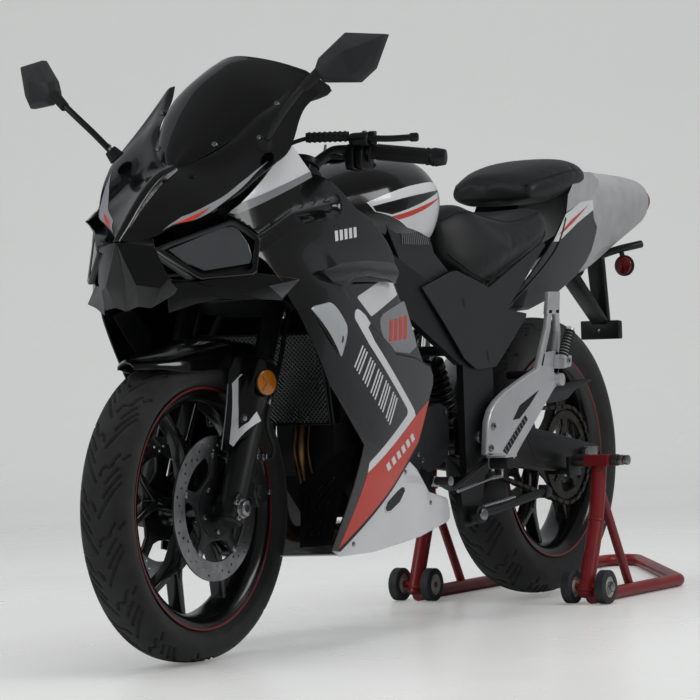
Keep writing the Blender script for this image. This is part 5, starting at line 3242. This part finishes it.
    def _dash(self) -> None:
        """Instrument housing, its dial and a bare display behind the screen."""
        shell = prism(
            "dash_shell",
            [(122, 958), (134, 990), (176, 1012), (188, 1004), (184, 984), (142, 942)],
            -68,
            68,
            6.0,
            3,
        )
        hood = prism("dash_hood", [(128, 985), (134, 996), (172, 1017), (178, 1012)], -60, 60, 3.0, 2)
        dial = drum("dash_dial", (-30, 171, 984), (-30, 180, 979), 30.0, 28.0, 48)
        display = prism("dash_display", [(160, 968), (184, 996), (188, 993), (164, 965)], 8, 58, 1.0)
        pieces = [
            dress(shell, TRIM_ABS), dress(hood, MATTE_ABS), dress(dial, SMOKED_LENS),
            dress(display, SMOKED_LENS),
        ]
        for side in (1, -1):
            stay = round_bar(
                "dash_stay", [(side * 50, -20, 921), (side * 50, 60, 940), (side * 50, 140, 962)], 7.0, 8
            )
            pieces.append(dress(stay, BLACK_METAL))
        fit(joined(pieces, "dash"), None, "chassis", "dark_cover", "instruments")


# ================================================================ drive side
@dataclass
class Chain:
    """Roller chain link by link, with the toothed sprocket it runs on.

    Attributes:
        x: Middle of the chain.
        output: (back, height) of the gearbox shaft.
        rear_radius: Pitch radius of the rear sprocket.
        front_radius: Pitch radius of the front one.
        links: Number of links.
        teeth: Teeth of the rear sprocket.
    """

    x: float = 82.0
    output: Pair = (800.0, 400.0)
    rear_radius: float = 108.75
    front_radius: float = 35.67
    links: int = 105
    teeth: int = 43

    def build(self) -> None:
        """Makes the chain and the sprocket."""
        self._links()
        self._sprocket()

    def _loop(self) -> list[Vector]:
        """Points along the middle of the chain, closed.

        Returns:
            (back, height) points.
        """
        rear, front = Vector(REAR_AXLE), Vector(self.output)
        way = rear - front
        tilt = atan2(way.y, way.x)
        lean = asin((self.rear_radius - self.front_radius) / way.length)
        points = []
        for centre, radius, start, end in (
            (rear, self.rear_radius, tilt + pi / 2 + lean, tilt - pi / 2 - lean),
            (front, self.front_radius, tilt - pi / 2 - lean, tilt - 3 * pi / 2 + lean),
        ):
            for step in range(49):
                turn = start + (end - start) * step / 48
                points.append(centre + Vector((cos(turn), sin(turn))) * radius)
        return points + [points[0]]

    def _links(self) -> None:
        """Lays plates and rollers along the loop."""
        loop = self._loop()
        lengths = [0.0]
        for low, high in zip(loop, loop[1:]):
            lengths.append(lengths[-1] + (high - low).length)
        pitch = lengths[-1] / self.links
        plate = [
            (9.6, 0), (8, 4.2), (4, 4.9), (0, 3.4), (-4, 4.9), (-8, 4.2),
            (-9.6, 0), (-8, -4.2), (-4, -4.9), (0, -3.4), (4, -4.9), (8, -4.2),
        ]
        kinds = []
        for kind, reach in (("outer", 7.0), ("inner", 5.0)):
            plates = [
                prism(f"chain_{kind}_plate", plate, side * reach, side * (reach + 1.6), 0.5, 1)
                for side in (-1, 1)
            ]
            rollers = [
                level_drum(f"chain_{kind}_roller", -reach - 1, reach + 1, (back, 0), 4.2, None, 10, 0)
                for back in (-pitch / 2, pitch / 2)
            ]
            kinds.append(joined(plates + rollers, "chain_" + kind))
        home = Matrix.Translation(-at(0, 0, 0))
        chain = []
        for link in range(self.links):
            where = (link + 0.5) * pitch
            span = next(i for i in range(len(lengths) - 1) if where <= lengths[i + 1])
            part = (where - lengths[span]) / (lengths[span + 1] - lengths[span])
            spot = loop[span].lerp(loop[span + 1], part)
            way = loop[span + 1] - loop[span]
            turn = Matrix.Rotation(atan2(way.y, way.x), 4, "X")
            matrix = Matrix.Translation(at(self.x, spot.x, spot.y)) @ turn @ home
            chain.append(copied(kinds[link % 2], f"chain_link_{link}", matrix))
        for kind in kinds:
            bpy.data.objects.remove(kind)
        fit(joined(chain, "roller_chain"), CHAIN_STEEL, "chassis", "steel", "chain")

    def _sprocket(self) -> None:
        """Rear sprocket: toothed ring, arms, carrier and bolts."""
        ring = [(self.x - 3.5, 84), (self.x + 3.5, 84), (self.x + 3.5, 100), (self.x - 3.5, 100)]
        pieces = [dress(spun("sprocket_ring", ring, *REAR_AXLE, 86), CHAIN_STEEL)]
        tooth = slanted(((-4.6, 97), (4.6, 97), (1.6, 101.6), (-1.6, 101.6)), *REAR_AXLE, 0)
        arm = slanted(((-22, 44), (22, 44), (10, 66), (14, 86), (-14, 86), (-10, 66)), *REAR_AXLE, 0)
        firsts = (
            (prism("sprocket_tooth", tooth, self.x - 2.6, self.x + 2.6, 0.6, 1), self.teeth),
            (prism("sprocket_arm", arm, self.x - 3, self.x + 3, 1.0, 1), 5),
        )
        for first, count in firsts:
            for index in range(count):
                matrix = turned(index * 2 * pi / count, *REAR_AXLE)
                pieces.append(dress(copied(first, first.name + "_copy", matrix), CHAIN_STEEL))
        for first, _ in firsts:
            bpy.data.objects.remove(first)
        hub = [(58, 13), (self.x + 4, 13), (self.x + 4, 36), (self.x + 2, 50), (self.x - 3, 52), (60, 44)]
        pieces.append(dress(spun("sprocket_carrier", hub, *REAR_AXLE, 64), CAST_ALLOY))
        for index in range(5):
            turn = index * 2 * pi / 5
            spot = (self.x + 3, WHEELBASE + 44 * sin(turn), REAR_AXLE_HEIGHT + 44 * cos(turn))
            pieces += bolts([spot], 5.0, 6.0)
        fit(joined(pieces, "toothed_sprocket"), None, "rear_wheel", "steel", "rear_sprocket")


@dataclass
class Swingarm:
    """Box-section arms with their adjusters, the axle nut, the chain guard and the shock.

    Attributes:
        arm: Side outline of an arm.
        guard: Side outline of the chain guard.
        pivot: (back, height) of the arms' pivot.
    """

    arm: Sequence[Pair] = (
        (862, 428), (1000, 422), (1139, 400), (1305, 371), (1490, 338), (1497, 326),
        (1442, 294), (1359, 284), (1200, 296), (1075, 313), (862, 345),
    )
    guard: Sequence[Pair] = (
        (1004, 458), (1120, 468), (1250, 474), (1351, 480), (1432, 486), (1516, 490), (1520, 484),
        (1440, 468), (1399, 448), (1340, 442), (1180, 442), (1040, 448),
    )
    pivot: Pair = (890.0, 385.0)

    def build(self) -> None:
        """Makes the arms, the guard and the shock."""
        pieces = []
        for side in (1, -1):
            arm = prism("arm", self.arm, side * 97, side * 125, 7.0, 4)
            inset = [(1080 + (b - 1080) * 0.84, 350 + (h - 350) * 0.62) for b, h in self.arm[2:9]]
            rib = prism("arm_rib", [(b, h + 2) for b, h in inset], side * 124, side * 126.5, 1.6, 2)
            pieces += [dress(arm, BLACK_METAL), dress(rib, BLACK_METAL)]
            plate = [(1402, 308), (1470, 312), (1472, 336), (1404, 339)]
            pieces.append(dress(prism("adjuster_plate", plate, side * 125, side * 129, 1.0), ZINC_STEEL))
            screw = drum("adjuster_screw", (side * 112, 1492, 331), (side * 112, 1506, 330), 5.0, None, 6)
            pieces.append(dress(screw, ZINC_STEEL))
            nut = level_drum("rear_axle_nut", side * 129, side * 142, REAR_AXLE, 17.0, None, 6, 1.4)
            pieces.append(dress(nut, ZINC_STEEL))
            bush = level_drum("wheel_spacer", side * 70, side * 98, REAR_AXLE, 14.0)
            pieces.append(dress(bush, CAST_ALLOY))
            cap = level_drum("pivot_cap", side * 138, side * 152, self.pivot, 15.0, 13.0)
            pieces.append(dress(cap, ZINC_STEEL))
        cross = [(966, 408), (1052, 399), (1052, 334), (966, 352)]
        pieces.append(dress(prism("arm_bridge", cross, -100, 100, 6.0, 3), BLACK_METAL))
        pieces.append(dress(level_drum("pivot_tube", -140, 140, self.pivot, 19.0), BLACK_METAL))
        fit(joined(pieces, "swingarm_body"), None, "chassis", "black_metal", "swingarm")
        guard = joined(
            [
                prism("guard_side", self.guard, 91.5, 95.5, 1.2),
                prism(
                    "guard_top",
                    [
                        (1004, 458), (1120, 468), (1351, 480), (1500, 489), (1500, 486), (1351, 476),
                        (1120, 464), (1004, 454),
                    ],
                    77,
                    95,
                    1.0,
                ),
                prism("guard_foot", [(1098, 462), (1142, 462), (1140, 396), (1100, 400)], 92, 97, 1.4),
            ],
            "chain_cover",
        )
        fit(guard, TRIM_ABS, "chassis", "dark_cover", "chain_guard")
        self._shock()

    def _shock(self) -> None:
        """Damper with a wound spring, its collars and its eyes."""
        low, high = Vector((0, 1004, 425)), Vector((0, 932, 556))
        way = (high - low).normalized()
        across = Vector((0, way.z, -way.y))
        sideways = Vector((1, 0, 0))
        turns, steps = 6.5, 78
        coil = []
        for step in range(steps + 1):
            turn = 2 * pi * turns * step / steps
            spot = low + way * (26 + 96 * step / steps) + (across * cos(turn) + sideways * sin(turn)) * 28
            coil.append(tuple(spot))
        spring = round_bar("shock_spring", coil, 5.6, 8)
        pieces = [dress(spring, BLACK_METAL)]
        for start, end, radius in ((4, 24, 31.0), (122, 134, 33.0), (6, 60, 14.0), (60, 146, 20.0)):
            body = drum("shock_body", tuple(low + way * start), tuple(low + way * end), radius, None, 40, 1.6)
            pieces.append(dress(body, BLACK_METAL))
        eyes = (
            level_drum("shock_eye", -16, 16, (1006, 420), 15.0),
            level_drum("shock_top_eye", -16, 16, (930, 560), 15.0),
        )
        pieces += [dress(eye, CAST_ALLOY) for eye in eyes]
        mount = prism("shock_mount", [(930, 574), (850, 582), (846, 560), (930, 546)], -10, 10, 2.0)
        pieces.append(dress(mount, BLACK_METAL))
        fit(joined(pieces, "rear_shock"), None, "chassis", "black_metal", "shock")


@dataclass
class Engine:
    """Covers, fins, bolts and pipes that dress the engine, and the radiator's mesh."""

    def build(self) -> None:
        """Makes what is fixed to the engine and the radiator."""
        pieces = []
        for side, back, height, radius, reach in ((1, 610, 380, 90, 117), (-1, 620, 380, 97, 121)):
            cover = [
                (side * (reach - 14), 0.1), (side * (reach + 4), 0.1), (side * (reach + 4), radius * 0.46),
                (side * (reach - 1), radius * 0.56), (side * (reach - 1), radius * 0.9),
                (side * (reach - 8), radius),
                (side * (reach - 30), radius), (side * (reach - 30), radius * 0.9),
            ]
            pieces.append(dress(spun("case_cover", cover, back, height, 72), ENGINE_CAST))
            for index in range(8):
                turn = index * pi / 4 + 0.3
                spot = (
                    side * (reach - 3), back + radius * 0.8 * sin(turn), height + radius * 0.8 * cos(turn)
                )
                pieces += bolts([spot], side * 6.0, 5.0)
        shield = [
            (690, 334), (742, 318), (812, 340), (826, 380), (824, 448), (790, 462), (700, 452), (676, 400)
        ]
        pieces.append(dress(prism("sprocket_cover", shield, 100, 112, 5.0, 3), ENGINE_CAST))
        pieces += bolts([(112, b, h) for b, h in ((700, 346), (812, 356), (806, 442), (702, 440))], 5.0, 5.0)
        for level in range(7):
            height = 474 + level * 13
            fin = [(436, height), (606, height), (612, height + 4), (440, height + 4)]
            pieces.append(dress(prism("cylinder_fin", fin, -74, 74, 1.2), ENGINE_CAST))
        head = [(444, 566), (600, 566), (622, 650), (566, 684), (452, 640)]
        pieces.append(dress(prism("head_cover", head, -71, 71, 8.0, 3), ENGINE_CAST))
        path = [(70, 500, 600), (104, 450, 612), (120, 380, 606), (118, 318, 600)]
        pieces.append(dress(round_bar("coolant_hose", path, 13.0, 10, True), SOFT_RUBBER))
        pieces.append(dress(drum("hose_band", (108, 424, 611), (114, 404, 609), 15.0), ZINC_STEEL))
        fit(joined(pieces, "engine_covers"), None, "chassis", "engine_grey")
        self._mesh()
        self._headers()

    def _mesh(self) -> None:
        """Diamond mesh in a rail in front of the radiator."""

        def front(x: float, up: float) -> Triple:
            """Point of the mesh, for a height up the core."""
            return (x, 266.0 + (up / 180.0) * -30.0 + 30.0, 440.0 + up)

        wires = []
        reach, tall, gap = 142.0, 176.0, 9.5
        for index in range(int((2 * reach + tall) / gap)):
            start = -reach - tall + index * gap
            low, high = max(0.0, -reach - start), min(tall, reach - start)
            if high - low > 4:
                for side in (1, -1):
                    ends = [front(side * (start + low), low), front(side * (start + high), high)]
                    wires.append(round_bar("mesh_wire", ends, 0.9, 1))
        mesh = dress(joined(wires, "radiator_mesh"), ZINC_STEEL)
        corners = [front(-145, 0), front(145, 0), front(145, 178), front(-145, 178), front(-145, 0)]
        rail = dress(round_bar("radiator_rail", corners, 3.4, 6), TRIM_ABS)
        tanks = [
            dress(
                prism(
                    "radiator_tank",
                    [(268, 622), (302, 622), (334, 438), (300, 438)],
                    side * 138,
                    side * 152,
                    3.0,
                    3,
                ),
                TRIM_ABS,
            )
            for side in (1, -1)
        ]
        fit(joined([mesh, rail, *tanks], "radiator_front"), None, "chassis", "dark_cover")

    def _headers(self) -> None:
        """Flanges and clamps on the exhaust pipes."""
        pieces = []
        for side in (1, -1):
            flange = drum("header_flange", (side * 30, 424, 520), (side * 30, 436, 520), 30.0, None, 40, 2.0)
            pieces.append(dress(flange, CAST_ALLOY))
        fit(joined(pieces, "header_flanges"), None, "chassis", "steel")


@dataclass
class Controls:
    """Polished footrest hangers, pegs, gear lever and the folded side stand.

    Attributes:
        casting: Outline of the lower casting.
        slot: Outline of its dark window.
        strip: Outline of its ribbed strip.
    """

    casting: Sequence[Pair] = (
        (870, 346), (876, 390), (881, 417), (898, 442), (921, 459), (969, 480), (1060, 508), (1112, 522),
        (1128, 532), (1196, 512), (1206, 486), (1185, 474), (1117, 424), (1036, 365), (991, 330), (960, 332),
        (950, 344),
    )
    slot: Sequence[Pair] = ((990, 416), (1023, 446), (1113, 476), (1066, 444), (1020, 418))
    strip: Sequence[Pair] = ((940, 352), (958, 344), (1056, 414), (1046, 424))

    def build(self) -> None:
        """Makes both sides' controls and the side stand."""
        for side, name in ((1, "left"), (-1, "right")):
            pieces = self._hanger() + self._peg() + self._passenger()
            pieces += self._gear_lever() if side == 1 else self._brake_pedal()
            whole = joined(pieces, f"hanger_{name}")
            if side < 0:
                mirrored = copied(whole, "hanger_right_side", MIRROR)
                bpy.data.objects.remove(whole)
                whole = mirrored
            fit(whole, None, "chassis", "aluminium", f"footrest_{name}")
        self._side_stand()

    def _hanger(self) -> list[Piece]:
        """Lower casting with its window, ribs and bolts.

        Returns:
            The dressed pieces.
        """
        pieces = [
            dress(prism("hanger_casting", self.casting, 158, 174, 4.5, 3), POLISHED_ALLOY),
            dress(prism("hanger_slot", self.slot, 173.2, 174.6, 0.0), SOFT_RUBBER),
            dress(prism("hanger_strip", self.strip, 173.4, 175.2, 0.6), SOFT_RUBBER),
            dress(level_drum("hanger_boss", 158, 186, (1203, 496), 15.0, 14.0), POLISHED_ALLOY),
            dress(level_drum("hanger_spacer", 146, 159, (940, 440), 13.0), BLACK_METAL),
            dress(level_drum("hanger_stay", 100, 159, (1110, 510), 9.0), BLACK_METAL),
        ]
        for step in range(9):
            part = (step + 0.5) / 9
            back, height = 944 + 100 * part, 352 + 66 * part
            ends = [(175.4, back - 4, height + 4), (175.4, back + 8, height - 8)]
            pieces.append(dress(round_bar("hanger_rib", ends, 1.0, 4), CAST_ALLOY))
        return pieces + bolts([(174, 900, 407), (174, 887, 361)], 5.0, 8.0)

    def _peg(self) -> list[Piece]:
        """Rider's folding peg with its ribbed rubber.

        Returns:
            The dressed pieces.
        """
        rubber = prism(
            "peg_rubber",
            [(858, 330), (862, 342), (890, 342), (894, 330), (888, 318), (864, 318)],
            184,
            228,
            2.5,
        )
        ribs = [
            prism("peg_rib", [(856, 331), (861, 344), (891, 344), (896, 331)], x, x + 2.4, 0.8, 1)
            for x in range(187, 226, 5)
        ]
        pieces = [dress(piece, SOFT_RUBBER) for piece in (rubber, *ribs)]
        frame = prism("peg_frame", [(852, 342), (900, 342), (900, 347), (852, 347)], 182, 230, 1.0)
        fork = prism(
            "peg_fork", [(874, 318), (930, 314), (950, 328), (940, 346), (876, 346)], 172, 184, 3.0, 3
        )
        pin = drum("peg_pin", (178, 884, 350), (178, 884, 312), 5.0)
        ring = level_drum("peg_end", 174, 192, (944, 330), 12.5, 11.0)
        pieces += [dress(piece, POLISHED_ALLOY) for piece in (frame, fork, ring)]
        return pieces + [dress(pin, ZINC_STEEL)]

    def _passenger(self) -> list[Piece]:
        """Upper bracket in two limbs, and the folded passenger peg.

        Returns:
            The dressed pieces.
        """
        limbs = (
            [
                (1112, 518), (1140, 566), (1166, 612), (1178, 652), (1198, 652), (1184, 606), (1160, 560),
                (1142, 524),
            ],
            [
                (1186, 500), (1198, 548), (1212, 600), (1210, 652), (1228, 652), (1232, 598), (1220, 540),
                (1214, 500),
            ],
            [(1126, 520), (1146, 556), (1214, 560), (1226, 536), (1208, 500), (1150, 512)],
            [(1170, 640), (1182, 690), (1236, 690), (1230, 640)],
        )
        pieces = [dress(prism("bracket_limb", limb, 160, 171, 2.6, 2), POLISHED_ALLOY) for limb in limbs]
        peg = [(188, 1200, 540), (196, 1232, 610)]
        pieces.append(dress(drum("folded_peg", peg[0], peg[1], 10.5, 9.0, 24, 2.5), POLISHED_ALLOY))
        for step in range(9):
            spot = Vector(peg[0]).lerp(Vector(peg[1]), (step + 1.2) / 11)
            end = spot + Vector((0.6, 2.0, 4.2))
            rib = drum("folded_peg_rib", tuple(spot), tuple(end), 11.6, None, 24, 0.6)
            pieces.append(dress(rib, SOFT_RUBBER))
        fork = prism("folded_peg_fork", [(1190, 520), (1226, 524), (1230, 548), (1196, 552)], 170, 198, 2.5)
        return pieces + [dress(fork, POLISHED_ALLOY)] + bolts([(198, 1210, 537)], 3.5, 6.0)

    def _gear_lever(self) -> list[Piece]:
        """Gear lever, its rod and its pad.

        Returns:
            The dressed pieces.
        """
        rod = round_bar("shift_rod", [(186, 720, 280), (188, 860, 299)], 3.6, 8)
        arm = round_bar("shift_arm", [(188, 906, 330), (188, 905, 300), (186, 860, 299)], 5.0, 8)
        pad = level_drum("shift_pad", 178, 214, (640, 306), 8.5, None, 20, 1.5)
        end = level_drum("shift_pad_end", 214, 217, (640, 306), 10.0)
        lever = round_bar(
            "shift_lever", [(160, 890, 335), (160, 760, 286), (178, 700, 284), (184, 640, 306)], 6.0, 8, True
        )
        block = prism("shift_joint", [(628, 296), (664, 292), (668, 312), (632, 318)], 172, 182, 2.5)
        pieces = [dress(piece, ZINC_STEEL) for piece in (rod, arm, end, block)]
        return pieces + [dress(pad, SOFT_RUBBER), dress(lever, BLACK_METAL)]

    def _brake_pedal(self) -> list[Piece]:
        """Rear brake pedal and its pad.

        Returns:
            The dressed pieces.
        """
        pedal = round_bar(
            "brake_pedal", [(162, 930, 326), (164, 820, 296), (170, 700, 290), (188, 650, 300)], 7.0, 8, True
        )
        pad = level_drum("brake_pad", 176, 204, (644, 302), 9.0, None, 20, 1.5)
        master = prism("master_cylinder", [(884, 400), (904, 400), (914, 466), (894, 470)], 150, 164, 3.0)
        return [dress(pedal, BLACK_METAL), dress(pad, CAST_ALLOY), dress(master, BLACK_METAL)]

    def _side_stand(self) -> None:
        """Folded side stand with its pivot bolt, spring and foot."""
        leg = round_bar(
            "stand_leg", [(163, 846, 224), (176, 900, 230), (192, 990, 246), (203, 1062, 257)], 9.5, 10, True
        )
        foot = prism("stand_foot", [(1052, 244), (1078, 246), (1084, 262), (1060, 274)], 192, 216, 3.0)
        boss = drum("stand_boss", (150, 842, 223), (176, 838, 224), 19.0)
        head = drum("stand_bolt", (176, 838, 224), (183, 837, 224.5), 13.0, 12.0, 32, 1.6)
        spring = round_bar("stand_spring", [(158, 868, 236), (172, 930, 244), (182, 968, 250)], 6.2, 6)
        pieces = [dress(piece, BLACK_METAL) for piece in (leg, foot, boss)]
        pieces += [dress(head, ZINC_STEEL), dress(spring, ZINC_STEEL)]
        fit(joined(pieces, "side_prop"), None, "side_stand", "black_metal", "side_stand")


# ================================================================ paddock stand
@dataclass
class PaddockStand:
    """Fittings of the paddock stand: two-tone rollers, axle nuts, pads and plugs.

    Attributes:
        axle_back: The rollers' axle, behind the front axle.
        radius: The rollers' radius.
        width: Width of one roller.
        middle: Middle between the two rollers of a side.
        spread: Distance between them.
        spool: (back, height) of the spools that the swingarm rests on.
    """

    axle_back: float = 1227.0
    radius: float = 37.5
    width: float = 24.0
    middle: float = 220.5
    spread: float = 83.0
    spool: Pair = (1312.0, 312.0)

    def build(self) -> None:
        """Makes the rollers and the stand's fittings."""
        for side, name in ((1, "left"), (-1, "right")):
            made = []
            for x in (self.middle - self.spread / 2, self.middle + self.spread / 2):
                made += self._roller(side * x)
            rollers = joined(made, f"rollers_{name}_pair")
            fit(rollers, None, f"rollers_{name}", "roller_plastic", f"stand_rollers_{name}")
        pieces = []
        for side in (1, -1):
            pieces += self._fittings(side)
        fit(joined(pieces, "stand_fittings"), None, "chassis", "steel")

    def _roller(self, x: float) -> list[Piece]:
        """One roller with a pale web.

        Args:
            x: Its middle.

        Returns:
            The dressed pieces.
        """
        half = self.width / 2
        tyre = [
            (x - half, self.radius - 4), (x - half + 2.5, self.radius - 0.2),
            (x + half - 2.5, self.radius - 0.2),
            (x + half, self.radius - 4), (x + half, self.radius - 14), (x - half, self.radius - 14),
        ]
        web = [
            (x - half + 2, self.radius - 13), (x + half - 2, self.radius - 13), (x + half - 5, 17),
            (x + half - 1, 14), (x + half - 1, 8), (x - half + 1, 8), (x - half + 1, 14), (x - half + 5, 17),
        ]
        return [
            dress(spun("roller_tread", tyre, self.axle_back, self.radius, 48), ROLLER_PLASTIC),
            dress(spun("roller_web", web, self.axle_back, self.radius, 48), ROLLER_WEB),
        ]

    def _fittings(self, side: int) -> list[Piece]:
        """Nuts, washers, the axle fork's pad and the welds of one side.

        Args:
            side: 1 for the left.

        Returns:
            The dressed pieces.
        """
        wheel = (self.axle_back, self.radius)
        fittings = (
            # name, inner end, outer end, axis, radius, sides, rounding, finish
            ("roller_nut", 273, 281, wheel, 11.0, 6, 1.0, ZINC_STEEL),
            ("roller_washer", 274, 276, wheel, 14.0, 32, 1.0, ZINC_STEEL),
            ("spool_nut", 262, 274, self.spool, 12.0, 6, 1.4, ZINC_STEEL),
            ("spool_end", 276, 287, self.spool, 11.0, 24, 1.4, ZINC_STEEL),
            ("spool_sleeve", 244, 262, self.spool, 13.0, 32, 1.0, SLEEVE_STEEL),
            ("spool_inner_sleeve", 151, 188, self.spool, 14.0, 32, 1.0, SLEEVE_STEEL),
        )
        pieces = [
            dress(level_drum(name, side * near, side * far, place, radius, None, sides, rounding), finish)
            for name, near, far, place, radius, sides, rounding, finish in fittings
        ]
        cheek = [(1283, 322), (1342, 322), (1342, 278), (1283, 278)]
        shelf = [(1285, 292), (1340, 292), (1340, 282), (1285, 282)]
        pads = [
            prism("cradle_cheek", cheek, side * 145.2, side * 153.2, 1.6),
            prism("cradle_shelf", shelf, side * 96.2, side * 149.8, 1.6),
        ]
        pieces += [dress(pad, BLACK_METAL) for pad in pads]
        welds = (
            ((side * 215, 1284, 176), 19.5), ((side * 215, 1222, 26), 20.5), ((side * 216, 1306, 252), 14.0),
        )
        for spot, radius in welds:
            top = (spot[0], spot[1] + 1.5, spot[2] + 5)
            pieces.append(dress(drum("stand_weld", spot, top, radius, None, 32, 1.6), STAND_RED))
        return pieces


PARTS = (
    Wheels(), SideFairing(), BellyPan(), NoseCowl(), Windscreen(), Mirrors(),
    Tank(), RIDER_SEAT, PILLION_SEAT, Tail(), PlateBracket(),
    FrontFender(), Fork(), Cockpit(), Chain(), Swingarm(), Engine(), Controls(), PaddockStand(),
)


# ================================================================ all together
NODE_FINISHES: dict[Finish, str] = {
    BLACK_METAL: "frame swingarm shock yokes fork_legs front_calipers side_stand",
    ENGINE_CAST: "engine",
    MATTE_ABS: "radiator side_covers",
    HEADER_STEEL: "exhaust_pipes",
    ZINC_STEEL: "silencer front_axle rear_sprocket",
    CHAIN_STEEL: "chain",
    TRIM_ABS: "chain_guard plate_bracket mirrors instruments handlebars",
    BLACK_PAINT: "tank tail_panels nose_cowl side_fairing_left side_fairing_right front_fender",
    VINYL: "rider_seat pillion_seat",
    SILVER_PAINT: "tail_cowl",
    RED_LENS: "tail_lamp",
    SMOKED_SCREEN: "windscreen",
    SMOKED_LENS: "lamps",
    WHITE_PAINT: "belly_pan",
    CAST_ALLOY: "footrest_left footrest_right",
    STAND_RED: "paddock_stand",
    RIM_BLACK: "front_rim rear_rim",
    RUBBER: "front_tyre rear_tyre",
    DISC_STEEL: "front_discs rear_disc",
    ROLLER_PLASTIC: "stand_rollers_left stand_rollers_right",
}


def main() -> None:
    """Builds and dresses the whole bike in order."""
    logging.basicConfig(level=logging.INFO, format="%(name)s: %(message)s")
    bpy.context.scene.view_settings.view_transform = "Standard"
    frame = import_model()
    Studio().build()
    for finish, nodes in NODE_FINISHES.items():
        for node in nodes.split():
            dress(frame["nodes"][node], finish)
    for part in PARTS:
        log.info("building %s", type(part).__name__)
        part.build()


if __name__ == "__main__":
    main()
